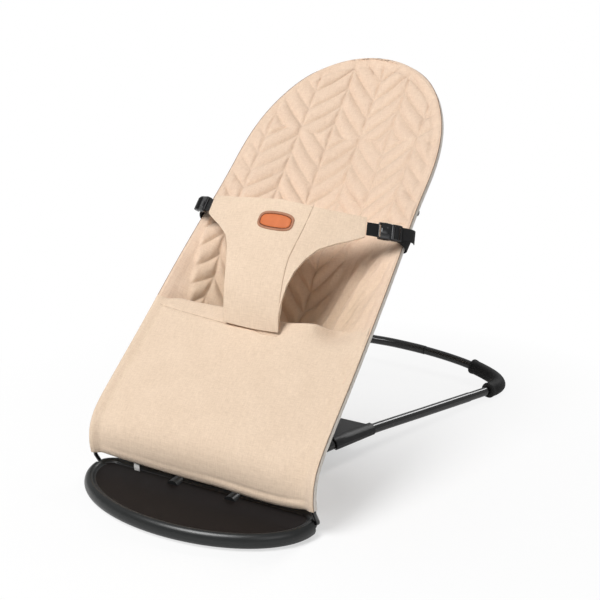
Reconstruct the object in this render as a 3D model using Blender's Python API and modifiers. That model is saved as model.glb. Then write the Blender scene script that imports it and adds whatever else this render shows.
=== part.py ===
"""A folding baby bouncer: a quilted cloth seat on a sprung wire loop, over a low tube base.

Metres, +Z up, -Y towards the foot end, +X to the right as seen from the foot end.
The origin is on the floor under the middle of the whole bouncer.
Left and right in names are as seen from the foot end.
Distances called back are measured along +Y from a line across the front plate, just under
the seat's hem.
"""
from math import cos, pi, radians, sin, sqrt

import bmesh
import bpy
from mathutils import Matrix, Vector

# Overall sizes
BASE_LENGTH = 0.758
PLATE_WIDTH = 0.380
PLATE_DEPTH = 0.143
PLATE_HEIGHT = 0.024
SEAT_INCLINE = radians(39.4)
GAP = 0.0003
PLATE_FRONT_BACK = -0.116
PLATE_REAR_BACK = PLATE_FRONT_BACK + PLATE_DEPTH
DATUM_Y = -PLATE_FRONT_BACK - BASE_LENGTH / 2

# Front plate
PLATE_BOTTOM = 0.0025
PLATE_WIDEST_BACK = -0.005
PLATE_CORNER_WIDTH = 0.040
PLATE_RIM_STEPS = 28
PLATE_CORNER_STEPS = 7
# The plate's edge, from its underside round the rim to the recessed top: inset, height
PLATE_PROFILE = [
    (0.0060, PLATE_BOTTOM), (0.0018, 0.0055), (0.0, 0.0115), (0.0014, 0.0180),
    (0.0045, 0.0222), (0.0085, PLATE_HEIGHT), (0.0125, 0.0225), (0.0155, 0.0190),
]
PAD_HEIGHT = PLATE_BOTTOM - GAP
PAD_HALF_LENGTH = 0.030
PAD_HALF_WIDTH = 0.007
PAD_CORNER = 0.005
# Grip pads under the plate: name, across, back, turn
GRIP_PADS = (("left", -0.112, -0.045, 0.5), ("middle", 0.0, -0.088, 0.0), ("right", 0.112, -0.045, -0.5))

# Fold axis of the seat: a bent-in wire end in a bush at each rear corner of the plate
FOLD_BACK = 0.0080
FOLD_Z = 0.0125
WIRE_RADIUS = 0.003
WIRE_HALF_SPREAD = 0.186
WIRE_BEND = 0.007
BUSH_INNER = 0.0036
BUSH_OUTER = 0.0051
BUSH_INSIDE_X = 0.156
BUSH_CLEARANCE = 0.0005
NOTCH_X = 0.1805
NOTCH_FRONT = -0.0075

# Base tubes
TUBE_RADIUS = 0.008
TUBE_WALL = 0.0012
TUBE_CLEARANCE = 0.0006
CORNER_TUBE_RADIUS = 0.0074
SPIGOT_RADIUS = 0.0061
SPIGOT_LENGTH = 0.025
SPIGOT_SHOULDER = 0.004
SOCKET_X = 0.049
SOCKET_Z = 0.0135
SOCKET_FRONT = -0.001
BOSS_RADIUS = 0.0106
BOSS_FRONT = -0.004
BOSS_REAR = PLATE_REAR_BACK + 0.009
SOCKET_SCREW_BACK = PLATE_REAR_BACK + 0.001
SOCKET_SCREW_HOLE = 0.0022
FOOT_RADIUS = 0.0125
FOOT_WALL = 0.0046
FOOT_COLLAR = 1.07

# Side tube, front to rear: across, back, height
SIDE_TUBE = [
    (SOCKET_X, SOCKET_FRONT + 0.002, SOCKET_Z),
    (SOCKET_X, 0.021, SOCKET_Z),
    (SOCKET_X + 0.0002, 0.041, SOCKET_Z + 0.0001),
    (0.0560, 0.068, 0.0166),
    (0.0705, 0.112, 0.0238),
    (0.1035, 0.205, 0.0297),
    (0.1290, 0.285, 0.0272),
    (0.1680, 0.395, 0.0209),
    (0.2065, 0.5045, 0.0145),
]
# Corner tube, from inside the side tube round to inside the rear bar
CORNER_TUBE = [
    (0.1979, 0.480, 0.0159),
    (0.2067, 0.5050, 0.0145),
    (0.2220, 0.549, 0.0121),
    (0.2290, 0.570, 0.0118),
    (0.2270, 0.590, 0.0118),
    (0.2070, 0.6085, 0.0145),
    (0.1650, 0.6200, 0.0215),
    (0.1200, 0.6260, 0.0262),
    (0.0700, 0.6310, 0.0288),
    (0.0450, 0.6325, 0.0295),
]
REAR_BAR_CENTRE = (0.0, 0.6340, 0.0300)
FOOT_START, FOOT_END = 2, 6

# Recline bridge: a moulding over both side tubes that carries the support bow
BRIDGE_FRONT = 0.203
BRIDGE_REAR = 0.287
BRIDGE_TOP = 0.034
BRIDGE_BOTTOM = 0.025
BRIDGE_FRONT_HALF = 0.101
BRIDGE_REAR_HALF = 0.129
SLEEVE_RADIUS = 0.0112
SLEEVE_OPEN_Z = 0.0225
POCKET_PITCH = 0.030
POCKET_HALF_WIDTH = 0.010
POCKET_MARGIN = 0.012
POCKET_DEPTH = 0.0055
BOW_BACK = 0.245
BOW_Z = 0.0405
BOW_BAR_HALF = 0.073
BOW_BEND = 0.009
BEARING_X = 0.056
BEARING_SIZE = (0.014, 0.030, 0.0130)
BEARING_CLEARANCE = 0.0005
BEARING_SCREW_SHIFT = 0.0105
BEARING_SCREW_HOLE = 0.0019
BEARING_SCREW_DEPTH = 0.0065
HEAD_SEAT_RADIUS = 0.0037
HEAD_SEAT_DEPTH = 0.0022
BOW_TOP_ALONG = 0.430
GLIDE_RADIUS = 0.0050
GLIDE_LENGTH = 0.017
GLIDE_X = 0.1600
GLIDE_CLEAR = 0.0010
GLIDE_BORE_CLEARANCE = 0.0006

# Pan head screws: head radius, shank length
SOCKET_SCREW = (0.0040, 0.0085)
BEARING_SCREW = (0.0033, 0.0165)
SCREW_HEAD_HEIGHT = 0.0018
SCREW_SHANK_RADIUS = 0.0015

# Seat loop, bottom of the cloth to the start of the head curve: half width, back, height
RAIL = [
    (0.1860, -0.0050, 0.034),
    (0.1860, -0.0090, 0.058),
    (0.1860, -0.0050, 0.084),
    (0.1855, 0.0120, 0.108),
    (0.1840, 0.0500, 0.1395),
    (0.1815, 0.1210, 0.1950),
    (0.1780, 0.2050, 0.2640),
    (0.1740, 0.2700, 0.3165),
    (0.1695, 0.3300, 0.3640),
]
HEAD_BACK = 0.370
HEAD_Z = 0.3955
HEAD_HALF_WIDTH = 0.168
HEAD_LENGTH = 0.188
HEAD_POWER = 2.6
HEAD_RISE = 0.80
HEAD_LIFT = 0.25
CHANNEL_RADIUS = 0.0048
CHANNEL_WALL = 0.0012
CHANNEL_SWELL = 0.0012
SWELL_STATIONS = 7
SHEET_INSET = CHANNEL_RADIUS + 0.0008

# Seat plane, for what lies over it: along the incline from the knee, and off the plane
KNEE_BACK, KNEE_Z = 0.0114, 0.1074
QUILT_THICKNESS = 0.007
FRONT_THICKNESS = 0.003
RESTRAINT_THICKNESS = 0.004
FRONT_TOP_ALONG = 0.205
QUILT_START_ALONG = 0.105
# How deep the quilted seat hangs between the rails: along, depth
QUILT_DEPTH = [
    (0.105, 0.010), (0.135, 0.033), (0.170, 0.048), (0.200, 0.057), (0.225, 0.061), (0.260, 0.060),
    (0.320, 0.050), (0.400, 0.036), (0.480, 0.026), (0.560, 0.019), (0.640, 0.012), (0.740, 0.006),
]
# Below this distance along, the cloth hangs as a pocket: steep on the left, a ramp on the right
POCKET_END = 0.345
POCKET_BLEND = 0.08
POCKET_STEEP_POWER = 2.6
POCKET_STEEP_ROUND = 1.25
POCKET_RAMP_START = 0.12
POCKET_RAMP_POWER = 1.6
# Restraint panel: along, half width, height off the seat plane on the centre line
RESTRAINT = [
    (0.172, 0.0460, 0.0090), (0.190, 0.0470, 0.0270), (0.210, 0.0490, 0.0430),
    (0.230, 0.0525, 0.0550), (0.250, 0.0575, 0.0620), (0.272, 0.0660, 0.0650),
    (0.292, 0.0780, 0.0665), (0.310, 0.1000, 0.0680), (0.331, 0.1340, 0.0715),
    (0.356, 0.1300, 0.0790),
]
RESTRAINT_DOME = 0.025
RESTRAINT_DOME_X = 0.130
PATCH_HALF_WIDTH = 0.030
PATCH_HALF_HEIGHT = 0.015
PATCH_ALONG = 0.322
PATCH_THICKNESS = 0.0010
LABEL_ACROSS = -0.112
LABEL_WIDTH = 0.010
LABEL_DROP = 0.006
LABEL_THICKNESS = 0.0006

# Side release buckles for 20 mm webbing, measured out from the end of the restraint panel
WEB_WIDTH = 0.020
WEB_THICKNESS = 0.0014
BELT_INNER = (0.1340, 0.3465, 0.0500)
BELT_OUTER = (0.1820, 0.3650, 0.0200)
SOCKET_START, SOCKET_END = 0.017, 0.037
PLUG_END = 0.053
BUCKLE_HALF_WIDTH = 0.0125
SOCKET_HALF_HEIGHT = 0.00425
PLUG_HALF_HEIGHT = 0.0035
BUCKLE_WALL = 0.00135
CAVITY_START = SOCKET_START + 0.0045
BUTTON_START = SOCKET_START + 0.0065
BUTTON_END = SOCKET_START + 0.0155
PRONG_CLEARANCE = 0.0005
PRONG_HALF_THICKNESS = 0.0021
WEB_SLOT_HALF = 0.0102
TONGUE_HALF_WIDTH = 0.0018
TONGUE_HALF_HEIGHT = 0.0016
SIDE_STRAP_ALONG = 0.3625

SIDES = (("left", -1), ("right", 1))

parts = bpy.data.collections.new("baby_bouncer")
cutters = bpy.data.collections.new("cutters")
materials = {}


def place(across, back, up):
    """A point given across, back and up."""
    return Vector((across, DATUM_Y + back, up))


def seat_point(across, along, off):
    """A point given across, along the seat plane from the knee, and off that plane."""
    back = KNEE_BACK + along * cos(SEAT_INCLINE) - off * sin(SEAT_INCLINE)
    up = KNEE_Z + along * sin(SEAT_INCLINE) + off * cos(SEAT_INCLINE)
    return place(across, back, up)


def clear_scene():
    for item in list(bpy.data.objects):
        bpy.data.objects.remove(item, do_unlink=True)
    for holder in (parts, cutters):
        bpy.context.scene.collection.children.link(holder)


def add_material(name, colour, roughness, metallic=0.0):
    made = bpy.data.materials.new(name)
    made.use_nodes = True
    shader = made.node_tree.nodes["Principled BSDF"]
    shader.inputs["Base Color"].default_value = (*colour, 1.0)
    shader.inputs["Roughness"].default_value = roughness
    shader.inputs["Metallic"].default_value = metallic
    made.diffuse_color = (*colour, 1.0)
    materials[name] = made


def add_part(name, data, material, matrix=None):
    """Put a mesh or curve in the model as one named sub-part."""
    item = bpy.data.objects.new(name, data)
    parts.objects.link(item)
    data.materials.clear()
    data.materials.append(materials[material])
    if matrix is not None:
        item.matrix_world = matrix
    return item


def smooth(item, angle=35):
    item.data.shade_smooth()
    item.data.set_sharp_from_angle(angle=radians(angle))


def mix(low, high, share):
    return low + (high - low) * share


def ease(share):
    share = min(max(share, 0.0), 1.0)
    return share * share * (3 - 2 * share)


def read_table(table, key, column=1):
    """Linear reading of a short table of named stations."""
    for low, high in zip(table, table[1:]):
        if key <= high[0]:
            share = max(0.0, (key - low[0]) / (high[0] - low[0]))
            return mix(low[column], high[column], share)
    return table[-1][column]


def smooth_path(points, steps):
    """Points on a smooth curve through the given points."""
    ends = [points[0] * 2 - points[1]] + list(points) + [points[-1] * 2 - points[-2]]
    path = []
    for one, two, three, four in zip(ends, ends[1:], ends[2:], ends[3:]):
        for step in range(steps):
            t = step / steps
            path.append(0.5 * (2 * two + (three - one) * t
                               + (2 * one - 5 * two + 4 * three - four) * t * t
                               + (3 * two - one - 3 * three + four) * t ** 3))
    path.append(points[-1].copy())
    return path


def fillet_path(points, radius, steps=4):
    """A path of straight runs with every corner rounded."""
    path = [points[0].copy()]
    for before, corner, after in zip(points, points[1:], points[2:]):
        inward = (before - corner).normalized()
        outward = (after - corner).normalized()
        half_angle = inward.angle(outward) / 2
        reach = radius / (sin(half_angle) / cos(half_angle))
        start = corner + inward * reach
        end = corner + outward * reach
        for step in range(steps + 1):
            t = step / steps
            path.append(start.lerp(corner, t).lerp(corner.lerp(end, t), t))
    path.append(points[-1].copy())
    return path


def tube_curve(name, path, radius, scales=None, caps=True, resolution=3):
    """A round tube along a path, as a curve; scales vary its radius point by point."""
    curve = bpy.data.curves.new(name, "CURVE")
    curve.dimensions = "3D"
    curve.bevel_depth = radius
    curve.bevel_resolution = resolution
    curve.use_fill_caps = caps
    spline = curve.splines.new("POLY")
    spline.points.add(len(path) - 1)
    for index, spot in enumerate(path):
        spline.points[index].co = (*spot, 1.0)
        spline.points[index].radius = scales[index] if scales else 1.0
    spline.use_smooth = True
    return curve


def as_mesh(curve, name, weld=True):
    """The mesh of a curve, with its caps welded on."""
    holder = bpy.data.objects.new(name, curve)
    parts.objects.link(holder)
    bpy.context.view_layer.update()
    graph = bpy.context.evaluated_depsgraph_get()
    mesh = bpy.data.meshes.new_from_object(holder.evaluated_get(graph))
    bpy.data.objects.remove(holder, do_unlink=True)
    bpy.data.curves.remove(curve)
    if weld:
        bm = bmesh.new()
        bm.from_mesh(mesh)
        bmesh.ops.remove_doubles(bm, verts=bm.verts, dist=0.00001)
        bmesh.ops.recalc_face_normals(bm, faces=bm.faces)
        bm.to_mesh(mesh)
        bm.free()
    mesh.name = name
    return mesh


def wire_part(name, path, radius, material, resolution=2):
    """A solid round wire."""
    return add_part(name, tube_curve(name, path, radius, resolution=resolution), material)


def pipe_part(name, path, radius, wall, material, scales=None, resolution=3):
    """An open-ended pipe: its outer skin along a path, with a wall inwards."""
    curve = tube_curve(name, path, radius, scales, caps=False, resolution=resolution)
    item = add_part(name, as_mesh(curve, name), material)
    shell = item.modifiers.new("wall", "SOLIDIFY")
    shell.thickness = wall
    shell.offset = -1
    smooth(item)
    return item


def box_mesh(name, low, high):
    """A closed box between two opposite corners, in either order."""
    bm = bmesh.new()
    bmesh.ops.create_cube(bm, size=1.0)
    size = Vector(high) - Vector(low)
    middle = (Vector(high) + Vector(low)) / 2
    bmesh.ops.scale(bm, vec=[abs(length) for length in size], verts=bm.verts)
    bmesh.ops.translate(bm, vec=middle, verts=bm.verts)
    mesh = bpy.data.meshes.new(name)
    bm.to_mesh(mesh)
    bm.free()
    return mesh


def cylinder_mesh(name, start, end, radius, segments=16):
    """A closed cylinder between two points."""
    axis = Vector(end) - Vector(start)
    turn = axis.to_track_quat("Z", "Y").to_matrix().to_4x4()
    bm = bmesh.new()
    bmesh.ops.create_cone(bm, cap_ends=True, segments=segments, radius1=radius, radius2=radius,
                          depth=axis.length)
    bmesh.ops.transform(bm, matrix=Matrix.Translation((Vector(start) + Vector(end)) / 2) @ turn,
                        verts=bm.verts)
    mesh = bpy.data.meshes.new(name)
    bm.to_mesh(mesh)
    bm.free()
    return mesh


def combine(item, mesh, operation, matrix=None):
    """Cut a hidden shape out of a part, or join it on."""
    tool = bpy.data.objects.new(f"{item.name}_{operation.lower()}", mesh)
    cutters.objects.link(tool)
    if matrix is not None:
        tool.matrix_world = matrix
    tool.hide_render = True
    tool.display_type = "WIRE"
    step = item.modifiers.new(operation.lower(), "BOOLEAN")
    step.operation = operation
    step.object = tool
    return tool


def cut(item, mesh, matrix=None):
    return combine(item, mesh, "DIFFERENCE", matrix)


def join(item, mesh, matrix=None):
    return combine(item, mesh, "UNION", matrix)


def loft_mesh(name, rings):
    """A closed body through a stack of rings with equal point counts."""
    bm = bmesh.new()
    loops = []
    for ring in rings:
        verts = [bm.verts.new(spot) for spot in ring]
        loops.append([bm.edges.new(pair) for pair in zip(verts, verts[1:] + verts[:1])])
    for low, high in zip(loops, loops[1:]):
        bmesh.ops.bridge_loops(bm, edges=low + high)
    bmesh.ops.contextual_create(bm, geom=loops[0])
    bmesh.ops.contextual_create(bm, geom=loops[-1])
    bmesh.ops.recalc_face_normals(bm, faces=bm.faces)
    mesh = bpy.data.meshes.new(name)
    bm.to_mesh(mesh)
    bm.free()
    return mesh


def sheet_part(name, columns, rows, surface, thickness, material):
    """A cloth or leather sheet: a grid laid on surface(u, v), with thickness both ways."""
    bm = bmesh.new()
    bmesh.ops.create_grid(bm, x_segments=columns, y_segments=rows, size=1.0)
    for vert in bm.verts:
        vert.co = surface(vert.co.x, (vert.co.y + 1) / 2)
    mesh = bpy.data.meshes.new(name)
    bm.to_mesh(mesh)
    bm.free()
    item = add_part(name, mesh, material)
    shell = item.modifiers.new("cloth", "SOLIDIFY")
    shell.thickness = thickness
    shell.offset = 0
    smooth(item, 50)
    return item


def strip_part(name, path, width, material, thickness=WEB_THICKNESS):
    """Flat webbing along a path; width is the full vector across it."""
    bm = bmesh.new()
    first = [bm.verts.new(path[0] - width / 2), bm.verts.new(path[0] + width / 2)]
    edge = bm.edges.new(first)
    for before, after in zip(path, path[1:]):
        grown = bmesh.ops.extrude_edge_only(bm, edges=[edge])["geom"]
        verts = [piece for piece in grown if isinstance(piece, bmesh.types.BMVert)]
        edge = next(piece for piece in grown if isinstance(piece, bmesh.types.BMEdge))
        bmesh.ops.translate(bm, vec=after - before, verts=verts)
    mesh = bpy.data.meshes.new(name)
    bm.to_mesh(mesh)
    bm.free()
    item = add_part(name, mesh, material)
    shell = item.modifiers.new("webbing", "SOLIDIFY")
    shell.thickness = thickness
    shell.offset = 0
    return item


def flat_part(name, outline, half_thickness, material, matrix):
    """A flat plate from an outline in its own XY plane."""
    curve = bpy.data.curves.new(name, "CURVE")
    curve.dimensions = "2D"
    curve.fill_mode = "BOTH"
    curve.extrude = half_thickness
    spline = curve.splines.new("POLY")
    spline.points.add(len(outline) - 1)
    for index, (u, v) in enumerate(outline):
        spline.points[index].co = (u, v, 0.0, 1.0)
    spline.use_cyclic_u = True
    return add_part(name, curve, material, matrix)


def rounded_outline(half_length, half_width, radius, steps=4):
    """A rectangle with round corners, anticlockwise."""
    outline = []
    for quarter, (x, y) in enumerate(((1, 1), (-1, 1), (-1, -1), (1, -1))):
        for step in range(steps + 1):
            turn = (quarter + step / steps) * pi / 2
            outline.append((x * (half_length - radius) + radius * cos(turn),
                            y * (half_width - radius) + radius * sin(turn)))
    return outline


def mirrored(path, side):
    return [Vector((spot.x * side, spot.y, spot.z)) for spot in path]


# The seat loop

def head_point(turn):
    """A point of the head curve: half width, back and height; turn is 0 at its start, 1 on top."""
    rise = sin(turn * pi / 2) ** (2 / HEAD_POWER)
    run = HEAD_LENGTH * rise
    return (HEAD_HALF_WIDTH * cos(turn * pi / 2), HEAD_BACK + run,
            HEAD_Z + HEAD_RISE * run + HEAD_LIFT * run * run)


def loop_side(head_steps=12):
    """One side of the seat loop, from the bottom of the cloth to the top of the head."""
    side = [Vector(spot) for spot in RAIL]
    side.append(Vector(head_point(0)))
    lower = smooth_path(side, 3)
    head = [Vector(head_point(step / head_steps)) for step in range(1, head_steps + 1)]
    return [place(*spot) for spot in lower + head]


LOOP = loop_side()
LOOP_ALONG = [(spot.y - DATUM_Y - KNEE_BACK) * cos(SEAT_INCLINE)
              + (spot.z - KNEE_Z) * sin(SEAT_INCLINE) for spot in LOOP]


def loop_at(station):
    """The right rail at a station, which counts loop points and may be fractional."""
    low = min(int(station), len(LOOP) - 2)
    return LOOP[low].lerp(LOOP[low + 1], station - low)


def station_of(along):
    """The station of the rail that lies at a distance along the seat plane."""
    for index, (low, high) in enumerate(zip(LOOP_ALONG, LOOP_ALONG[1:])):
        if low <= along <= high and index > 6:
            return index + (along - low) / (high - low)
    return len(LOOP) - 1.0


def channel_swell(from_top):
    """How much of its swelling the edge channel has, a number of stations from the top."""
    return 1.0 - ease((from_top - SWELL_STATIONS + 3) / 3)


def inner_edge(station):
    """A point just inside the edge channel, level with the rail."""
    here = loop_at(station)
    ahead = loop_at(min(station + 0.5, len(LOOP) - 1.0))
    behind = loop_at(max(station - 0.5, 0.0))
    run = ahead - behind
    uphill = sqrt(run.y ** 2 + run.z ** 2)
    inward = Vector((-uphill, run.x * run.y / max(uphill, 1e-6), run.x * run.z / max(uphill, 1e-6)))
    swell = CHANNEL_SWELL * channel_swell(len(LOOP) - 3 - station)
    return here + inward.normalized() * (SHEET_INSET + swell)


def restraint_off(across, along):
    """How far the restraint panel stands off the seat plane."""
    dome = RESTRAINT_DOME * ease((along - RESTRAINT[0][0]) / 0.08)
    return read_table(RESTRAINT, along, 2) - dome * (across / RESTRAINT_DOME_X) ** 2


# Pieces of the base

def plate_ring(inset, up):
    """The plate's half-moon outline, moved in by inset."""
    half = PLATE_WIDTH / 2 - inset
    front = PLATE_WIDEST_BACK - PLATE_FRONT_BACK - inset
    rear = PLATE_REAR_BACK - PLATE_WIDEST_BACK - inset
    corner = PLATE_CORNER_WIDTH - inset
    ring = []
    for step in range(PLATE_RIM_STEPS + 1):
        turn = pi * step / PLATE_RIM_STEPS
        ring.append(place(half * cos(turn), PLATE_WIDEST_BACK - front * sin(turn), up))
    for step in range(1, PLATE_CORNER_STEPS + 1):
        turn = pi / 2 * step / PLATE_CORNER_STEPS
        ring.append(place(corner - half - corner * cos(turn),
                          PLATE_WIDEST_BACK + rear * sin(turn), up))
    for step in range(PLATE_CORNER_STEPS, 0, -1):
        turn = pi / 2 * step / PLATE_CORNER_STEPS
        ring.append(place(half - corner + corner * cos(turn),
                          PLATE_WIDEST_BACK + rear * sin(turn), up))
    return ring


def screw_hole(item, across, back, low, high, radius, segments=12):
    """An upright round hole through a part between two heights."""
    ends = (place(across, back, low), place(across, back, high))
    cut(item, cylinder_mesh("screw hole", *ends, radius, segments))


def make_front_plate():
    rings = [plate_ring(inset, up) for inset, up in PLATE_PROFILE]
    plate = add_part("front_plate", loft_mesh("front_plate", rings), "black_plastic")
    for _, side in SIDES:
        boss = [place(side * SOCKET_X, back, SOCKET_Z) for back in (BOSS_FRONT, BOSS_REAR)]
        join(plate, cylinder_mesh("boss", *boss, BOSS_RADIUS, 20))
        bore = [place(side * SOCKET_X, back, SOCKET_Z) for back in (SOCKET_FRONT, BOSS_REAR + 0.003)]
        cut(plate, cylinder_mesh("bore", *bore, TUBE_RADIUS + TUBE_CLEARANCE, 20))
        notch = [place(side * NOTCH_X, NOTCH_FRONT, -0.01), place(side * 0.2, PLATE_REAR_BACK, 0.03)]
        cut(plate, box_mesh("wire notch", *notch))
        bush = [place(side * across, FOLD_BACK, FOLD_Z) for across in (BUSH_INSIDE_X - 0.001, 0.184)]
        cut(plate, cylinder_mesh("bush bore", *bush, BUSH_OUTER + BUSH_CLEARANCE, 20))
        screw_hole(plate, side * SOCKET_X, SOCKET_SCREW_BACK, SOCKET_Z, 0.03, SOCKET_SCREW_HOLE)
    smooth(plate)


def make_grip_pads():
    outline = rounded_outline(PAD_HALF_LENGTH, PAD_HALF_WIDTH, PAD_CORNER)
    for name, across, back, turn in GRIP_PADS:
        matrix = (Matrix.Translation(place(across, back, PAD_HEIGHT / 2))
                  @ Matrix.Rotation(turn, 4, "Z"))
        flat_part(f"grip_pad_{name}", outline, PAD_HEIGHT / 2, "rubber", matrix)


def make_pivot_bushes():
    for side_name, side in SIDES:
        path = [place(side * BUSH_INSIDE_X, FOLD_BACK, FOLD_Z),
                place(side * (NOTCH_X - GAP), FOLD_BACK, FOLD_Z)]
        pipe_part(f"pivot_bush_{side_name}", path, BUSH_OUTER, BUSH_OUTER - BUSH_INNER,
                  "grey_nylon", resolution=6)


def make_side_tubes():
    path = smooth_path([place(*spot) for spot in SIDE_TUBE], 3)
    for side_name, side in SIDES:
        tube = pipe_part(f"side_tube_{side_name}", mirrored(path, side), TUBE_RADIUS, TUBE_WALL,
                         "black_steel")
        screw_hole(tube, side * SOCKET_X, SOCKET_SCREW_BACK, SOCKET_Z, 0.03, SOCKET_SCREW_HOLE)


def make_corner_tubes():
    path = smooth_path([place(*spot) for spot in CORNER_TUBE], 3)
    lengths = [0.0]
    for before, after in zip(path, path[1:]):
        lengths.append(lengths[-1] + (after - before).length)
    spigot = SPIGOT_RADIUS / CORNER_TUBE_RADIUS
    total = lengths[-1]
    for side_name, side in SIDES:
        scales = []
        for run in lengths:
            inside = min(run, total - run)
            scales.append(mix(spigot, 1.0, ease((inside - SPIGOT_LENGTH) / SPIGOT_SHOULDER)))
        pipe_part(f"corner_tube_{side_name}", mirrored(path, side), CORNER_TUBE_RADIUS, TUBE_WALL,
                  "black_steel", scales)


def make_rear_bar():
    half = [Vector(CORNER_TUBE[-2]), Vector(CORNER_TUBE[-1]), Vector(REAR_BAR_CENTRE)]
    half = [place(*spot) for spot in half]
    whole = half + mirrored(half[-2::-1], -1)
    pipe_part("rear_bar", smooth_path(whole, 2), TUBE_RADIUS, TUBE_WALL, "black_steel")


def make_rear_feet():
    steps = 3
    path = smooth_path([place(*spot) for spot in CORNER_TUBE], steps)
    path = path[FOOT_START * steps:FOOT_END * steps + 1]
    scales = [FOOT_COLLAR] + [1.0] * (len(path) - 2) + [FOOT_COLLAR]
    for side_name, side in SIDES:
        foot = pipe_part(f"rear_foot_{side_name}", mirrored(path, side), FOOT_RADIUS, FOOT_WALL,
                         "rubber", scales)
        floor = [place(side * 0.14, 0.50, -0.02), place(side * 0.26, 0.66, 0.0)]
        cut(foot, box_mesh("floor", *floor))


def side_tube_span(front, rear):
    """The stretch of the side tube's path between two distances back."""
    path = smooth_path([place(*spot) for spot in SIDE_TUBE], 6)
    return [spot for spot in path if front <= spot.y - DATUM_Y <= rear]


def make_recline_bridge():
    outline = [(-BRIDGE_FRONT_HALF, BRIDGE_FRONT), (BRIDGE_FRONT_HALF, BRIDGE_FRONT),
               (BRIDGE_REAR_HALF, BRIDGE_REAR), (-BRIDGE_REAR_HALF, BRIDGE_REAR)]
    rings = []
    for up in (BRIDGE_BOTTOM, BRIDGE_TOP):
        rings.append([place(across, back, up) for across, back in outline])
    bridge = add_part("recline_bridge", loft_mesh("recline_bridge", rings), "black_plastic")
    bore = side_tube_span(BRIDGE_FRONT - 0.02, BRIDGE_REAR + 0.02)
    sleeve = side_tube_span(BRIDGE_FRONT - 0.003, BRIDGE_REAR + 0.004)
    for _, side in SIDES:
        outer = tube_curve("sleeve", mirrored(sleeve, side), SLEEVE_RADIUS)
        join(bridge, as_mesh(outer, "sleeve"))
    for _, side in SIDES:
        inner = tube_curve("tube bore", mirrored(bore, side), TUBE_RADIUS + TUBE_CLEARANCE)
        cut(bridge, as_mesh(inner, "tube bore"))
        underside = [place(side * 0.085, 0.16, 0.0), place(side * 0.16, 0.32, SLEEVE_OPEN_Z)]
        cut(bridge, box_mesh("open underside", *underside))
    for across in (-POCKET_PITCH, 0.0, POCKET_PITCH):
        pocket = [place(across - POCKET_HALF_WIDTH, BRIDGE_FRONT + POCKET_MARGIN, BRIDGE_BOTTOM - 0.01),
                  place(across + POCKET_HALF_WIDTH, BRIDGE_REAR - POCKET_MARGIN,
                        BRIDGE_BOTTOM + POCKET_DEPTH)]
        cut(bridge, box_mesh("lightening pocket", *pocket))
    for _, side in SIDES:
        for shift in (-BEARING_SCREW_SHIFT, BEARING_SCREW_SHIFT):
            screw_hole(bridge, side * BEARING_X, BOW_BACK + shift, BRIDGE_TOP - BEARING_SCREW_DEPTH,
                       BRIDGE_TOP + 0.01, BEARING_SCREW_HOLE)
    smooth(bridge)


def make_bow_bearings():
    width, depth, height = BEARING_SIZE
    for side_name, side in SIDES:
        low = place(side * BEARING_X - width / 2, BOW_BACK - depth / 2, BRIDGE_TOP + GAP)
        high = place(side * BEARING_X + width / 2, BOW_BACK + depth / 2, BRIDGE_TOP + height)
        block = add_part(f"bow_bearing_{side_name}", box_mesh("bearing", low, high), "black_plastic")
        axle = [place(side * BEARING_X + reach, BOW_BACK, BOW_Z) for reach in (-width, width)]
        cut(block, cylinder_mesh("axle hole", *axle, WIRE_RADIUS + BEARING_CLEARANCE, 20))
        for shift in (-BEARING_SCREW_SHIFT, BEARING_SCREW_SHIFT):
            spot = (side * BEARING_X, BOW_BACK + shift)
            screw_hole(block, *spot, BRIDGE_TOP - 0.01, BRIDGE_TOP + 0.03, BEARING_SCREW_HOLE)
            screw_hole(block, *spot, BRIDGE_TOP + height - HEAD_SEAT_DEPTH, BRIDGE_TOP + 0.03,
                       HEAD_SEAT_RADIUS, 16)
        smooth(block)


def screw_part(name, head_under, head_radius, shank_length):
    """A pan head screw, turned from a profile, standing on its axis."""
    profile = [(0.0, SCREW_HEAD_HEIGHT), (head_radius * 0.7, SCREW_HEAD_HEIGHT),
               (head_radius, SCREW_HEAD_HEIGHT * 0.45), (head_radius, 0.0),
               (SCREW_SHANK_RADIUS, 0.0), (SCREW_SHANK_RADIUS, 0.0008 - shank_length),
               (0.0, -shank_length)]
    mesh = bpy.data.meshes.new(name)
    bm = bmesh.new()
    verts = [bm.verts.new((radius, 0.0, up)) for radius, up in profile]
    for pair in zip(verts, verts[1:]):
        bm.edges.new(pair)
    bm.to_mesh(mesh)
    bm.free()
    item = add_part(name, mesh, "zinc_steel", Matrix.Translation(head_under))
    turned = item.modifiers.new("turned", "SCREW")
    turned.steps = 12
    turned.render_steps = 12
    turned.use_merge_vertices = True
    turned.merge_threshold = 0.00001
    smooth(item)


def make_screws():
    for side_name, side in SIDES:
        seat = place(side * SOCKET_X, SOCKET_SCREW_BACK, SOCKET_Z + BOSS_RADIUS + 0.0004)
        screw_part(f"socket_screw_{side_name}", seat, *SOCKET_SCREW)
        for end_name, shift in (("front", -BEARING_SCREW_SHIFT), ("rear", BEARING_SCREW_SHIFT)):
            seat = place(side * BEARING_X, BOW_BACK + shift,
                         BRIDGE_TOP + BEARING_SIZE[2] - HEAD_SEAT_DEPTH + GAP)
            screw_part(f"bearing_screw_{side_name}_{end_name}", seat, *BEARING_SCREW)


# The support bow

def glide_axis():
    """Back and height of the bow's top ends, just under the rails."""
    rail = loop_at(station_of(BOW_TOP_ALONG))
    clear = CHANNEL_RADIUS + GLIDE_RADIUS + GLIDE_CLEAR
    return (rail.y - DATUM_Y + clear * sin(SEAT_INCLINE), rail.z - clear * cos(SEAT_INCLINE))


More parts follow.
